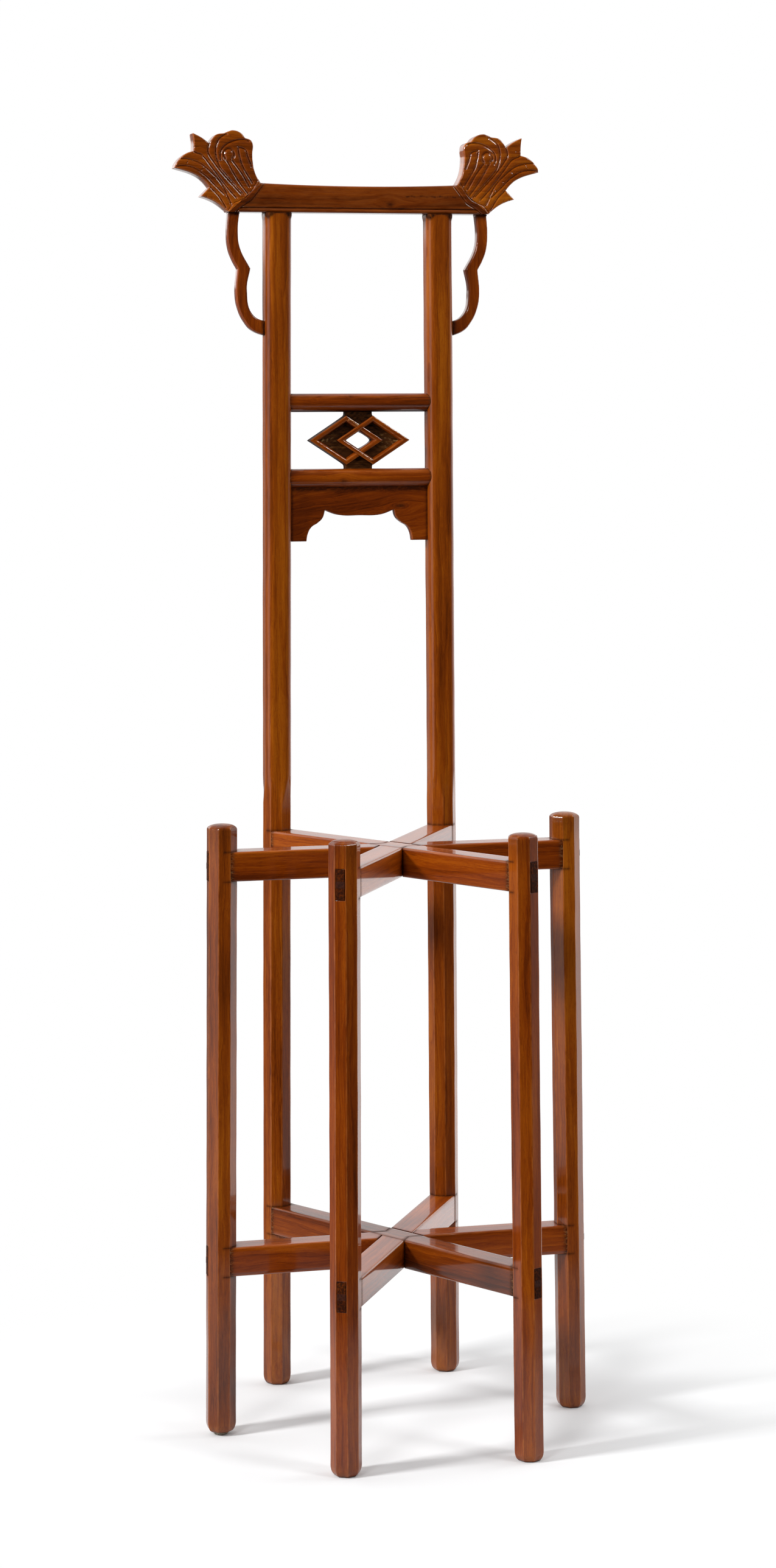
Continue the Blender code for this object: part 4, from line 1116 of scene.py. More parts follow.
carvedOutline = (
    (0.503, 0.104, "smooth"), (0.585, 0.149, "smooth"), (0.699, 0.190, "corner"),
    (0.596, 0.302, "corner"), (0.656, 0.375, "smooth"), (0.741, 0.442, "smooth"),
    (1.000, 0.534, "corner"), (0.982, 0.591, "smooth"), (0.873, 0.706, "smooth"),
    (0.778, 0.741, "corner"), (0.779, 0.847, "smooth"), (0.791, 0.961, "corner"),
    (0.685, 0.905, "smooth"), (0.599, 0.839, "corner"), (0.562, 0.895, "smooth"),
    (0.515, 0.944, "smooth"), (0.421, 0.963, "corner"), (0.372, 0.986, "smooth"),
    (0.318, 1.000, "smooth"), (0.220, 0.964, "smooth"), (0.174, 0.907, "corner"),
    (0.108, 0.879, "smooth"), (0.087, 0.837, "smooth"), (0.092, 0.708, "smooth"),
    (0.087, 0.610, "smooth"), (0.068, 0.504, "smooth"), (0.034, 0.418, "smooth"),
)
# cut lines of the leaf and scroll, x and height above the underside, each drawn downwards
carvedLines = (
    ((161.2, 62.7), (150.2, 48.2), (139.7, 30.4)),
    ((170.5, 65.0), (166.4, 59.5), (154.8, 39.5), (141.9, 22.4)),
    ((153.6, 76.4), (152.2, 68.1), (147.8, 54.8), (136.1, 35.4)),
    ((153.0, 78.4), (144.3, 75.2), (142.0, 68.0), (136.8, 55.2)),
    ((139.8, 86.4), (144.3, 87.8), (154.8, 87.4), (166.4, 83.2), (173.4, 77.2), (176.3, 70.6),
     (175.7, 62.9)),
    ((168.0, 94.8), (172.8, 92.2), (179.2, 86.1), (182.1, 72.9), (178.1, 57.4), (169.9, 46.3),
     (146.6, 20.6)),
    ((189.6, 83.5), (191.4, 77.2), (191.1, 70.8), (183.9, 59.7), (173.4, 46.3), (149.8, 21.2)),
    ((208.2, 72.3), (204.9, 70.5), (196.7, 66.5), (186.2, 53.1), (168.8, 30.8), (156.4, 17.3)),
    ((228.6, 62.5), (222.0, 63.2), (210.8, 61.7), (196.7, 55.5), (175.8, 35.3), (163.4, 10.6)),
    ((232.0, 53.4), (222.5, 54.7), (208.4, 52.3), (194.4, 43.3), (183.9, 33.2), (170.8, 20.7)),
    ((188.6, 30.0), (186.3, 27.1), (178.1, 18.7), (169.8, 5.2)),
)
# short nicks: middle, length and direction in degrees
carvedNicks = (
    (198.0, 51.5, 7.0, -35), (216.6, 60.2, 5.0, -55), (201.4, 40.2, 6.0, -40),
    (183.3, 40.9, 6.0, -10), (175.5, 29.4, 6.0, -8), (186.3, 14.6, 5.0, 80),
    (193.3, 17.6, 3.5, 60), (206.0, 78.3, 7.0, 0),
)


# Distance from each place to each cut line of the leaf, and which side of it the place is on.
def cutDistances(places):
    found = [chainDistance(places, smoothChain(line)) for line in carvedLines]
    return np.stack([far for far, _, _ in found]), np.stack([side for _, _, side in found])


# Front of a carved end: a plain face less the cut lines, each with one steep and one eased side,
# the ring round the knob, and the rounded rim. Ribs swell a little between the cuts.
def carvedFront(x, z, rim):
    places = np.stack([x, z - stand["crestUnderside"]], -1)
    face = carving["thick"] / 2 - roundedRim(rim, carving["edge"])
    far, side = cutDistances(places)
    slope = np.clip(1 - far / carving["rampWidth"], 0, 1)
    ramp = np.max(carving["ramp"] * slope ** 1.5 * (side < 0), axis=0)
    nearest = far.min(0)
    cut = carving["groove"] * bell(nearest, carving["grooveWidth"])
    for middleX, middleZ, length, turn in carvedNicks:
        reach = np.array([cos(radians(turn)), sin(radians(turn))]) * length / 2
        middle = np.array([middleX, middleZ])
        distance, _, _ = chainDistance(places, np.stack([middle - reach, middle + reach]))
        cut = np.maximum(cut, carving["nick"] * bell(distance, carving["nickWidth"]))
    toKnob = np.hypot(*(places - knobMiddle).T)
    nearKnob = toKnob < carving["ringRadius"] + carving["plainRound"]
    rising = (places - knobMiddle)[:, 1] / np.maximum(toKnob, 0.1)
    ring = carving["ringDepth"] * bell(toKnob - carving["ringRadius"], carving["ringWidth"])
    ring = ring * (1 - smoothStep(*carving["ringOpen"], rising))
    dome = np.sqrt(np.clip(1 - (toKnob / carving["knobRadius"]) ** 2, 0, 1))
    cut = np.where(nearKnob, np.maximum(ring, cut * carving["shallower"]), cut + ramp)
    swell = np.where(nearKnob, carving["knobRise"] * dome - carving["knobFoot"], 0)
    swell = swell - carving["pillow"] * fading(nearest, carving["pillowReach"])
    inner, outer = collarDistances(x, places[:, 1])
    return face + np.where(outer > 0, swell - cut, collarRise(inner, outer))


# Dirt in the cut lines and in the ring round the knob.
def carvedGrime(x, z, rim):
    places = np.stack([x, z - stand["crestUnderside"]], -1)
    toKnob = np.hypot(*(places - knobMiddle).T)
    far = (cutDistances(places)[0].min(0), toKnob - carving["ringRadius"])
    darkening = (carving["cutDirt"], carving["ringDirt"])
    return largest(*(dark * bell(distance, width) for distance, (dark, width) in zip(far, darkening)))


# A carved end: a board cut to the leaf's outline, whose rim stays square where it meets the bar.
def carvedEndSkin(seed):
    underside, joint = stand["crestUnderside"], stand["crestUnderside"] + crest["height"]
    shift = carving["play"] * np.hypot(crestSlope, 1)
    outline = [(crest["lowerHalf"] + shift, underside, "corner")]
    outline += [
        (crest["upperHalf"] + shift + across * carving["length"],
         underside + up * carving["height"], kind)
        for across, up, kind in carvedOutline
    ]
    outline.append((crest["upperHalf"] + shift, joint, "corner"))

    def openRim(x, z, rim):
        line = crest["lowerHalf"] + shift - crestSlope * (z - underside)
        toJoint = (x - line) / np.hypot(crestSlope, 1)
        return np.where((z < joint) & (toJoint < carving["openJoint"]), board["openRim"], rim)

    return boardSkin(
        [tracedOutline(outline)], carving["cell"],
        lambda x, z, rim: carvedFront(x, z, openRim(x, z, rim)),
        lambda x, z, rim: carving["thick"] / 2 - roundedRim(openRim(x, z, rim), carving["edge"]),
        carvedGrime, seed, carving["grainTurn"])


rightEnd = carvedEndSkin(91)
makePiece("right_leaf_scroll", "right_carved_end", [rightEnd], goldenElm, 70)
makePiece("left_leaf_scroll", "left_carved_end", [mirroredSkin(rightEnd, 7.7)], goldenElm, 70)
print("crest and carved ends made")

bracket = {
    "reach": 46.2,
    "drop": 152.0,
    "thick": 15.0,
    "edge": 2.6,
    "cell": 0.7,
    "play": 0.1,             # under the crest
    "outlineStep": 1.0,
    "grainTurn": 1.63,
    "rimWear": 0.25,
    "openTop": 1.5,          # its rim stays square so near to the crest
    # darker near the crest, and dirt at the post, with the distances from crest and post between which
    # each grows
    "crestDarkening": (0.8, 7, 0),
    "postDirt": (0.9, 6, 1),
}
bracketOutline = (
    (0.965, 0.000, "corner"), (1.000, 0.150, "smooth"), (0.963, 0.288, "smooth"),
    (0.859, 0.378, "smooth"), (0.723, 0.454, "corner"), (0.772, 0.654, "smooth"),
    (0.705, 0.776, "smooth"), (0.537, 0.882, "smooth"), (0.318, 0.954, "smooth"),
    (0.000, 1.010, "corner"), (0.000, 0.890, "corner"), (0.290, 0.829, "smooth"),
    (0.463, 0.625, "smooth"), (0.368, 0.451, "corner"), (0.649, 0.283, "smooth"),
    (0.701, 0.160, "smooth"), (0.656, 0.000, "corner"),
)


# A bracket: a board sawn to an S, with rounded edges but for its top under the crest.
def bracketSkin(seed):
    top = stand["crestUnderside"] - bracket["play"]
    face = legReach(stand["crestUnderside"] - bracket["drop"]) / 2 + post["half"]
    outline = [
        (face + across * bracket["reach"] if across else face - post["edge"],
         top - down * bracket["drop"], kind)
        for across, down, kind in bracketOutline
    ]

    def surface(x, z, rim):
        rim = np.where(z > top - bracket["openTop"], board["openRim"], rim)
        return bracket["thick"] / 2 - roundedRim(rim, bracket["edge"])

    # darker near the crest, and dirt at the post
    def grime(x, z, rim):
        return jointDarkening((bracket["crestDarkening"], top - z), (bracket["postDirt"], x - face))

    loop = tracedOutline(outline, bracket["outlineStep"])
    return boardSkin([loop], bracket["cell"], surface, surface, grime, seed,
                     bracket["grainTurn"], bracket["rimWear"])


rightBracket = bracketSkin(101)
makePiece("right_bracket_sawn", "right_spandrel", [rightBracket], figuredElm, 50)
makePiece("left_bracket_sawn", "left_spandrel", [mirroredSkin(rightBracket, 5.7)], figuredElm, 50)

crossRail = {
    "depth": 28.0,
    "upper": (1271.1, 23.0),     # top and height
    "lower": (1177.2, 24.6),
    "chamfer": 8.2,              # the eased lower front edge
    "topRound": 7.0,
    "backRound": 5.0,
    "softness": (5.6, 9, 4),     # radius, points of a corner and points between two
    "evenStations": 26,
    "evenTo": -6.0,
    "atPost": (-4.0, -2.0, -0.8, 0.5, 2.0, 4.0, 7.0),
    "intoPost": 3.0,             # short of the post's middle
    "knots": {"upper": ((-12.0, 1267.0, 3.0, 1.6),), "lower": ((-22.0, 1161.5, 4.5, 3.0),)},
    "knotParting": 2.6,
    # dirt and wax at the posts, each with its strength and its reach in mm
    "copeDirt": (0.85, 1.4),
    "copeWax": (0.2, 0.9),
    # painted shade along the underside: its strength, and the distances from the underside between
    # which it grows
    "lowDarkening": (0.85, 3.4, 1.0),
    "knotShare": 0.8,
    "wornTop": (0.4, 1.5),
}


# Closed outline with its corners cut round: each corner becomes a quadratic curve from one side
# to the other.
def softCorners(corners, radius, arcPoints, sideSteps):
    before, after = np.roll(corners, 1, 0), np.roll(corners, -1, 0)
    toBefore, toAfter = before - corners, after - corners
    lengthBefore = np.linalg.norm(toBefore, axis=1)
    lengthAfter = np.linalg.norm(toAfter, axis=1)
    reach = np.minimum(radius, 0.46 * np.minimum(lengthBefore, lengthAfter))[:, None]
    start = corners + toBefore / lengthBefore[:, None] * reach
    end = corners + toAfter / lengthAfter[:, None] * reach
    share = np.linspace(0, 1, arcPoints)[None, :, None]
    arc = (start[:, None] * (1 - share) ** 2 + 2 * corners[:, None] * share * (1 - share)
           + end[:, None] * share ** 2)
    following = np.roll(start, -1, 0)
    step = np.linspace(0, 1, sideSteps + 2)[1:-1][None, :, None]
    side = end[:, None] * (1 - step) + following[:, None] * step
    return np.concatenate([arc, side], 1).reshape(-1, 2)


# A cross rail: an outline with a flat front, a round upper edge and a broad eased lower edge on
# the front, and small rounds behind, carried from post to post.
def crossRailSkin(top, height, knots, seed):
    half, back = crossRail["depth"] / 2, crossRail["backRound"]
    chamfer, topRound = crossRail["chamfer"], crossRail["topRound"]
    corners = np.array([
        (half, -height + back), (half - back, -height), (-half + chamfer * 1.15, -height),
        (-half, -height + chamfer), (-half + 0.6, -topRound * 0.6),
        (-half + topRound * 0.9, -0.02), (half - back, 0), (half, -back),
    ])
    depth, drop = softCorners(corners, *crossRail["softness"]).T
    middle = legReach(top - height / 2) / 2
    face = middle - post["half"]
    run = np.concatenate([
        np.linspace(0, face + crossRail["evenTo"], crossRail["evenStations"]),
        face + np.array(crossRail["atPost"]), [middle - crossRail["intoPost"]]])
    run = np.concatenate([-run[:0:-1], run])[:, None]
    x, y, z = np.broadcast_arrays(run, depth, top + drop)
    gap = face + roundedRim(post["half"] - np.abs(y), post["edge"]) - np.abs(x)
    dark, reach = crossRail["copeDirt"]
    # dirt at the posts, the knots' stain, and painted shade along the underside
    grime = largest(
        dark * fading(gap, reach), crossRail["knotShare"] * knotStain(x, z, knots) * (depth < 0),
        jointDarkening((crossRail["lowDarkening"], drop + height)))
    pale, reach = crossRail["copeWax"]
    worn, width = crossRail["wornTop"]
    wear = worn * bell(drop + topRound * 0.5, width) * (depth < 0)
    place = woodPlace(x, roundKnots(x, z, knots, crossRail["knotParting"]), y, seed)
    return loftSkin(leanBack(np.stack([x, y, z], -1)), place, grime, pale * fading(gap, reach), wear)


for tier, seed in (("upper", 111), ("lower", 112)):
    skin = crossRailSkin(*crossRail[tier], crossRail["knots"][tier], seed)
    makePiece(f"{tier}_cross_rail_shaped", f"{tier}_cross_rail", [skin], elm, 40)

apron = {
    "depth": 66.2,
    "thick": 12.0,
    "footWidth": 19.5,
    "housed": 3.0,           # in the posts and in the cross rail
    "edge": 0.9,
    "cell": 0.8,
    "grainTurn": 0.10,
    "knots": ((53.0, 1130.0, 9.0, 3.2),),
    "wallGrime": 0.5,
    # painted shadow under the cross rail and dirt at the posts, with the distances from cross rail and
    # posts between which each grows
    "railDarkening": (0.85, 7, 0),
    "postDirt": (0.7, 3.5, -0.5),
}
apronOutline = (
    (0.000, 0.517, "smooth"), (0.316, 0.502, "smooth"), (0.507, 0.414, "corner"),
    (0.540, 0.555, "smooth"), (0.612, 0.650, "smooth"), (0.706, 0.732, "smooth"),
    (0.758, 0.856, "smooth"),
)


# The apron: a board sawn to one half of the outline and to its mirror image.
def apronSkin(seed):
    underside = crossRail["lower"][0] - crossRail["lower"][1]
    face = legReach(underside) / 2 - post["half"]
    low, high, half = underside - apron["depth"], underside + apron["housed"], face + apron["housed"]
    right = [(across * face, underside - down * apron["depth"], kind)
             for across, down, kind in apronOutline]
    foot = ((face - apron["footWidth"], low), (half, low), (half, high))
    right += [(x, z, "corner") for x, z in foot]
    left = [(-x, z, kind) for x, z, kind in reversed(right[1:])]

    def surface(x, z, rim):
        return apron["thick"] / 2 - roundedRim(rim, apron["edge"])

    # painted shadow under the cross rail, and dirt where the apron meets the posts
    def grime(x, z, rim):
        return jointDarkening((apron["railDarkening"], underside - z), (apron["postDirt"], face - np.abs(x)))

    return boardSkin([tracedOutline(left + right)], apron["cell"], surface, surface, grime, seed,
                     apron["grainTurn"], knots=apron["knots"], wallGrime=apron["wallGrime"])


makePiece("apron_sawn", "apron", [apronSkin(121)], figuredElm, 50)
print("brackets, cross rails and apron made")

fret = {
    "halfWidth": 47.5,
    "halfHeight": 30.9,
    "offset": 17.2,
    "play": 0.2,
    "band": 6.9,             # square across the band
    "middle": 1212.65,
    "front": {-1: 8.3, 1: 9.5},
    "sideRings": 26,         # along each side of a diamond
    "sawWaves": (9, 17, 31),
    "sawDepth": 0.10,
    # painted shade down the inner walls: strength, the depths between which it grows, and the inset
    # that it begins at
    "innerWallShade": (0.7, -3.0, 1.0, 3.0),
    "sawnDirt": (0.9, 3),    # strength, and how many points of the section are sawn wall
    "wornEdges": (0.6, (3, 4, 7, 8)),      # strength, and points of the section
    "glintPaleness": 0.9,
    "ground": 2.5,
    "back": 10.0,
    "groundInset": 0.3,
    "groundEdge": 0.8,
    "groundGrime": 0.95,     # of its sawn walls
    "housed": 4.0,
    "cell": 0.7,
    "chisel": 0.14,
    "softTips": 0.07,        # share of each side that is rounded off at the opening's tips
    # chisel strokes: least and most of their turns across and up and of their start, and how many
    "strokes": ((0.2, 0.5, 0), (0.5, 1.5, 6.28), (9, 3)),
    "strokeBend": (1.4, 0.35),
    "strokeScale": 3.2,
    "tipRange": (20.0, 46.0),      # from the middle, where the tips get paler
    "tipShares": (0.6, 1.0),       # left and right
    "groundShadeAndDirt": (0.62, 0.36, 0.6),     # dirt and painted shade all over, more painted shade high up under the bands, less at the tips
    "shadeRange": (-14.0, 12.0),
    "shadeSlope": 0.25,
    # painted shade deeper in the hollows of the chisel strokes: its share, and the stroke heights
    # between which it grows
    "roughShade": (0.2, 0.3, -0.8),
    # painted glints on the ridges of the chisel strokes towards the tips: strength, and the stroke
    # heights between which they grow
    "groundTipGlints": (0.7, 0.2, 0.9),
    "tipGlintScale": (1.3, 0.9),  # of its strokes across and up
    # painted glints: side of the diamond (0 is the upper right one, then round to the left), from
    # and to as shares of it, and insets across the band
    "paintedGlints": {-1: ((0, 0.55, 0.95, 0.0, 3.4),),
                1: ((0, 0.08, 0.95, 0.0, 0.9), (2, 0.60, 0.95, 3.4, 5.0))},
}
diamondTips = np.array([(1, 0), (0, 1), (-1, 0), (0, -1)], float)


# Places on the four sides of a diamond of half width and half height 1.
def diamondPath(share):
    return np.concatenate([
        tip * (1 - share[:, None]) + after * share[:, None]
        for tip, after in zip(diamondTips, np.roll(diamondTips, -1, 0))])


# A diamond band: its section, measured square from the outer edge, is carried round the diamond
# with mitred corners, so a point at inset i sits on a diamond smaller by i over the edge distance.
def bandSkin(side, seed):
    width, height = fret["halfWidth"] - fret["play"], fret["halfHeight"] - fret["play"]
    sideLength = np.hypot(width, height)
    front, band = fret["front"][side], fret["band"]
    inset, depth = np.array([
        (0.0, -1.0), (0.0, front * 0.5), (0.0, front - 0.9), (0.35, front - 0.25), (0.9, front),
        (1.8, front + 0.12), (3.4, front + 0.1), (band - 2.3, front - 0.05),
        (band - 1.9, front - 0.4), (band - 0.9, front - 1.7), (band - 0.25, front - 2.9),
        (band + 0.1, front * 0.45), (band + 0.25, 0.5), (band + 0.3, -1.0), (3.5, -1.2)]).T
    share = np.linspace(0, 1, fret["sideRings"], endpoint=False)
    path = diamondPath(share)
    draw = np.random.default_rng(seed)
    around = np.arange(len(path)) / len(path) * 2 * pi
    wander = sum(np.sin(around * lobes + draw.uniform(0, 6)) for lobes in fret["sawWaves"])
    scale = 1 - inset * sideLength / (width * height)
    x = side * fret["offset"] + path[:, :1] * width * scale
    y = fret["sawDepth"] * wander[:, None] * (depth > 1) - depth
    z = fret["middle"] + path[:, 1:] * height * scale
    # grain follows each side of the diamond
    quarter = np.repeat(np.arange(4), len(share))[:, None]
    share = np.tile(share, 4)[:, None]
    place = woodPlace(share * sideLength + quarter * 90, inset, y, seed)
    corner = np.arange(len(inset))
    # painted shade down the inner walls, darker with depth, and dirt on the sawn outer walls
    dark, high, low, inwards = fret["innerWallShade"]
    soiled, sawn = fret["sawnDirt"]
    grime = largest(dark * smoothStep(front + high, low, depth) * (inset > inwards),
                    soiled * (corner < sawn))
    worn, edges = fret["wornEdges"]
    # painted glints on parts of the bands
    paintedGlints = [
        (quarter == number) & (share > start) & (share < stop) & (inset >= low) & (inset <= high)
        for number, start, stop, low, high in fret["paintedGlints"][side]
    ]
    points = leanBack(np.stack([x, y, z], -1))
    return loftSkin(points, place, grime, fret["glintPaleness"] * largest(*paintedGlints),
                    worn * np.isin(corner, edges), circular=True)


# The pierced ground behind the bands: rough from the chisel, with a softly rounded opening.
def groundSkin(seed):
    width, height = (fret[word] - fret["groundInset"] for word in ("halfWidth", "halfHeight"))
    offset, middle = fret["offset"], fret["middle"]
    low = crossRail["lower"][0] - fret["housed"] - middle
    high = crossRail["upper"][0] - crossRail["upper"][1] + fret["housed"] - middle
    upright = [(0.6, low, "corner"),
               (0.6, -height - 0.6, "smooth"), (2.5, 1.2 - height, "smooth"),
               (width, 0.0, "corner"), (2.5, height - 1.2, "smooth"), (0.6, height + 0.6, "smooth"),
               (0.6, high, "corner")]
    right = [(offset + x, middle + z, kind) for x, z, kind in upright]
    left = [(-x, z, kind) for x, z, kind in reversed(right)]
    smaller = 1 - (fret["band"] + 0.1) * np.hypot(width, height) / (width * height)
    holeWidth = width * smaller - offset
    holeHeight = height / width * holeWidth
    tips = diamondPath(np.array([fret["softTips"], 1 - fret["softTips"]]))
    hole = [(x * holeWidth, middle + z * holeHeight, "smooth") for x, z in tips]
    draw = np.random.default_rng(seed)
    strokes = draw.uniform(*fret["strokes"])
    bend, turns = fret["strokeBend"]

    def rough(x, z):
        return sum(np.sin(np.abs(x) * across + z * up + start + bend * np.sin(x * turns + start))
                   for across, up, start in strokes) / fret["strokeScale"]

    def towardsTips(x):
        return smoothStep(*fret["tipRange"], np.abs(x))

    def surface(x, z, rim):
        return fret["ground"] + fret["chisel"] * rough(x, z) - roundedRim(rim, fret["groundEdge"])

    def behind(x, z, rim):
        return fret["back"] - roundedRim(rim, fret["groundEdge"])

    # painted shade and dirt: dark all over, darker high up under the bands and in the hollows of the
    # strokes, lighter towards the tips
    def grime(x, z, rim):
        least, more, less = fret["groundShadeAndDirt"]
        left, right = fret["tipShares"]
        shade = more * smoothStep(*fret["shadeRange"], z - middle + fret["shadeSlope"] * np.abs(x))
        shade = least + shade - less * towardsTips(x) * np.where(x > 0, right, left)
        share, high, low = fret["roughShade"]
        return shade * (1 - share + share * smoothStep(high, low, rough(x, z)))

    # painted glints on the stroke ridges towards the tips
    def wax(x, z, rim):
        pale, low, high = fret["groundTipGlints"]
        closer, wider = fret["tipGlintScale"]
        return pale * smoothStep(low, high, rough(x * closer, z * wider)) * towardsTips(x)

    loops = [tracedOutline(right + left), tracedOutline(hole, 1.0)[::-1]]
    return boardSkin(loops, fret["cell"], surface, behind, grime, seed, rimWear=0.0, waxAndGlintsOf=wax,
                     wallGrime=fret["groundGrime"])


makePiece("fret_interlaced", "fret_panel", [bandSkin(-1, 132), bandSkin(1, 133)], elm, 35)
makePiece("fret_ground", "fret_panel", [groundSkin(131)], roughElm, 50)
print("fret made")

# fitted to the picture: angles in degrees, metres, and the lens in mm
view = {
    "turn": 13.9329,         # of the view from straight on, seen from the left
    "pitch": 6.3018,
    "roll": -0.3071,
    "back": 3.97940,
    "aside": -0.00862,
    "height": 1.23579,
    "lens": 75.353,
    "film": 36.0,
}
studio = {
    "floor": "#d9d8d6",
    "floorReach": 30.0,
    "room": "#303030",
    "seenFloor": "#e1e2e3",  # the paint that the camera sees near the stand
    "shadowReach": (0.30, 1.05),   # m from the middle, where the paint gives way to plain white
    "nearer": 1.5,           # times sooner that it does so for the camera than for reflections
    "around": 0.95,          # level of the white surroundings
    # parts of the surroundings: compass turn in degrees, soft edge as cosines, and the level low
    # down and over the horizon
    "surroundings": ((35, 0.77, 0.88, 1.7, 1.7), (132, 0.695, 0.788, 0.20, 1.7),
                     (256, -0.25, 0.25, 0.02, 0.02), (194, 0.88, 0.97, 1.1, 1.1)),
    "horizon": (0.045, 0.070),     # as sines
    "paperEnd": (0.5, 1.1),  # the white paper on the floor fades out in front of the stand, m
    # each soft box: place, target, width and height in metres, power in watts
    "lamps": {
        "key": ((-3.3, -0.7, 2.8), (0, 0, 0.8), (0.6, 0.6), 150.0),
        "left_fill": ((-2.4, -2.7, 3.2), (0, 0, 1.1), (0.9, 0.9), 46.0),
        "right_fill": ((2.5, -2.6, 3.4), (0, 0, 1.1), (0.9, 0.9), 56.0),
        "high_box": ((2.1, -0.1, 3.3), (0, 0.1, 1.1), (1.2, 1.2), 27.0),
    },
}


# A level direction, counted in degrees from +X.
def compass(turn):
    return (cos(radians(turn)), sin(radians(turn)), 0.0)


# Brightness of the room in each direction, as the varnish mirrors it: white paper all round, with
# softly edged parts of another level.
def roomLevel(tree, direction, rise):
    low, high = studio["horizon"]
    over = addNode(tree, "ShaderNodeMapRange", _0=rise, _1=low, _2=high)
    level = studio["around"]
    for turn, low, high, under, above in studio["surroundings"]:
        part = addNode(tree, "ShaderNodeMapRange", _0=over, _3=under, _4=above)
        ahead = addNode(tree, "ShaderNodeVectorMath", "Value", operation="DOT_PRODUCT",
                        _0=direction, _1=compass(turn))
        level = addNode(tree, "ShaderNodeMapRange", interpolation_type="SMOOTHSTEP", _0=ahead,
                        _1=low, _2=high, _3=level, _4=part)
    return level


# White paper on the floor. The camera and the varnish see it pale near the stand, where it takes
# the shadow, and plain white or the room's own level further off. Any other light finds a tone
# that darkens towards the room behind the camera.
def makeFloor():
    material, tree = newMaterial("studio_floor")
    rays = {word: addNode(tree, "ShaderNodeLightPath", f"Is {word} Ray")
            for word in ("Camera", "Glossy", "Transmission")}
    place = addNode(tree, "ShaderNodeTexCoord", "Object")
    ahead = addNode(tree, "ShaderNodeVectorMath", "Value", operation="DOT_PRODUCT",
                    _0=place, _1=compass(270 - view["turn"]))
    low, high = studio["paperEnd"]
    paper = addNode(tree, "ShaderNodeMapRange", _0=ahead, _1=low, _2=high, _3=1.0, _4=0.0)
    straight = addNode(tree, "ShaderNodeMath", operation="MAXIMUM",
                       _0=rays["Camera"], _1=rays["Transmission"])
    seen = addNode(tree, "ShaderNodeMath", operation="MAXIMUM", _0=straight, _1=rays["Glossy"])
    tone = addNode(tree, "ShaderNodeMix", 2, data_type="RGBA", _0=paper,
                   _6=linear(studio["room"]), _7=linear(studio["floor"]))
    paint = addNode(tree, "ShaderNodeBsdfDiffuse", Color=tone)
    pale = addNode(tree, "ShaderNodeBsdfDiffuse", Color=linear(studio["seenFloor"]))
    away = addNode(tree, "ShaderNodeVectorMath", "Value", operation="LENGTH", _0=place)
    sooner = addNode(tree, "ShaderNodeMapRange", _0=straight, _3=1.0, _4=studio["nearer"])
    away = addNode(tree, "ShaderNodeMath", operation="MULTIPLY", _0=away, _1=sooner)
    low, high = studio["shadowReach"]
    far = addNode(tree, "ShaderNodeMapRange", interpolation_type="SMOOTHSTEP",
                  _0=away, _1=low, _2=high)
    outward = addNode(tree, "ShaderNodeVectorMath", operation="NORMALIZE", _0=place)
    level = addNode(tree, "ShaderNodeMapRange", _0=straight,
                    _3=roomLevel(tree, outward, 0.0), _4=1.0)
    white = addNode(tree, "ShaderNodeEmission", Color=(1, 1, 1, 1), Strength=level)
    both = addNode(tree, "ShaderNodeMixShader", _0=far, _1=pale, _2=white)
    mixed = addNode(tree, "ShaderNodeMixShader", _0=seen, _1=paint, _2=both)
    addNode(tree, "ShaderNodeOutputMaterial", Surface=mixed)
    mesh = bpy.data.meshes.new("studio_floor")
    reach = studio["floorReach"]
    corners = [(-reach, -reach, 0), (reach, -reach, 0), (reach, reach, 0), (-reach, reach, 0)]
    mesh.from_pydata(corners, [], [(0, 1, 2, 3)])
    mesh.materials.append(material)
    floor = bpy.data.objects.new("studio_floor", mesh)
    bpy.context.scene.collection.objects.link(floor)


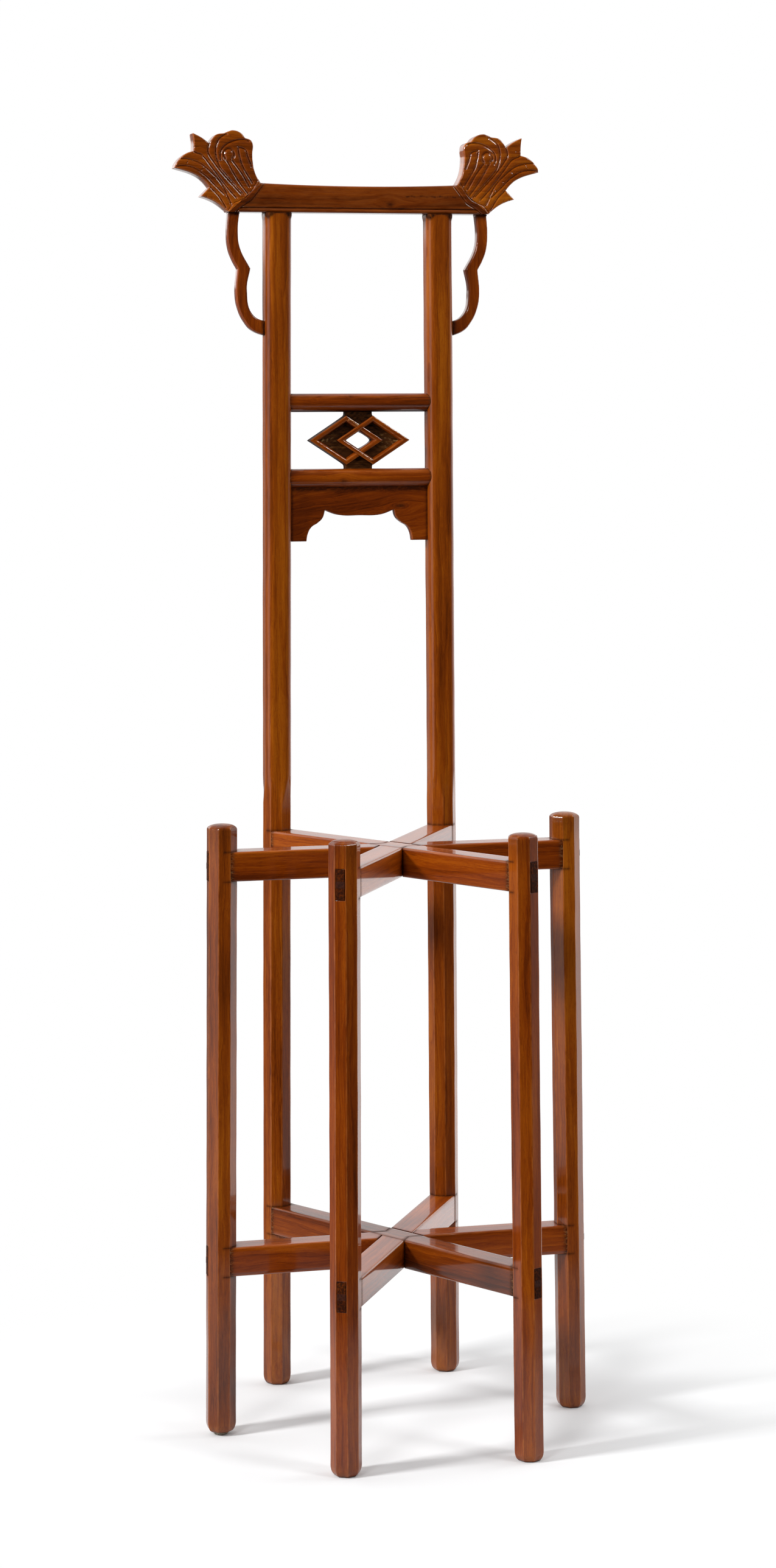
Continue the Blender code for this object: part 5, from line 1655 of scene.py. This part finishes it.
# White surroundings with the darker room behind the camera; the camera itself sees plain white.
def makeWorld():
    world = bpy.data.worlds.new("white_studio")
    bpy.context.scene.world = world
    world.use_nodes = True
    tree = world.node_tree
    tree.nodes.clear()
    seen = addNode(tree, "ShaderNodeMath", operation="MAXIMUM",
                   _0=addNode(tree, "ShaderNodeLightPath", "Is Camera Ray"),
                   _1=addNode(tree, "ShaderNodeLightPath", "Is Transmission Ray"))
    direction = addNode(tree, "ShaderNodeTexCoord", "Generated")
    rise = addNode(tree, "ShaderNodeSeparateXYZ", "Z", Vector=direction)
    level = roomLevel(tree, direction, rise)
    light = addNode(tree, "ShaderNodeBackground", Color=(1, 1, 1, 1), Strength=level)
    white = addNode(tree, "ShaderNodeBackground", Color=(1, 1, 1, 1), Strength=1.0)
    mixed = addNode(tree, "ShaderNodeMixShader", _0=seen, _1=light, _2=white)
    addNode(tree, "ShaderNodeOutputWorld", Surface=mixed)


# A soft box of the given width and height, turned to its target.
def makeLamp(name, place, target, size, power):
    lamp = bpy.data.lights.new(name, "AREA")
    lamp.shape = "RECTANGLE"
    lamp.size, lamp.size_y = size
    lamp.energy = power
    holder = bpy.data.objects.new(name, lamp)
    holder.location = place
    holder.rotation_euler = (Vector(target) - Vector(place)).to_track_quat("-Z", "Y").to_euler()
    holder.visible_camera = False
    bpy.context.scene.collection.objects.link(holder)


# The camera: turned to the side, pitched down and rolled, in that order.
def makeCamera():
    turn, pitch, roll = (radians(view[key]) for key in ("turn", "pitch", "roll"))
    level = Vector((sin(turn), cos(turn), 0))
    right = Vector((cos(turn), -sin(turn), 0))
    ahead = level * cos(pitch) - Vector((0, 0, sin(pitch)))
    up = right.cross(ahead)
    camera = bpy.data.objects.new("camera", bpy.data.cameras.new("camera"))
    camera.data.sensor_fit = "AUTO"
    camera.data.sensor_width = view["film"]
    camera.data.lens = view["lens"]
    place = right * view["aside"] - level * view["back"] + Vector((0, 0, view["height"]))
    tiltedRight = right * cos(roll) + up * sin(roll)
    tiltedUp = up * cos(roll) - right * sin(roll)
    basis = Matrix((tiltedRight, tiltedUp, -ahead)).transposed().to_4x4()
    camera.matrix_world = Matrix.Translation(place) @ basis
    bpy.context.scene.collection.objects.link(camera)
    bpy.context.scene.camera = camera


makeFloor()
makeWorld()
for lampName, lampValues in studio["lamps"].items():
    makeLamp(lampName, *lampValues)
makeCamera()
bpy.context.scene.view_settings.view_transform = "Standard"
print("stage, lights and camera made")
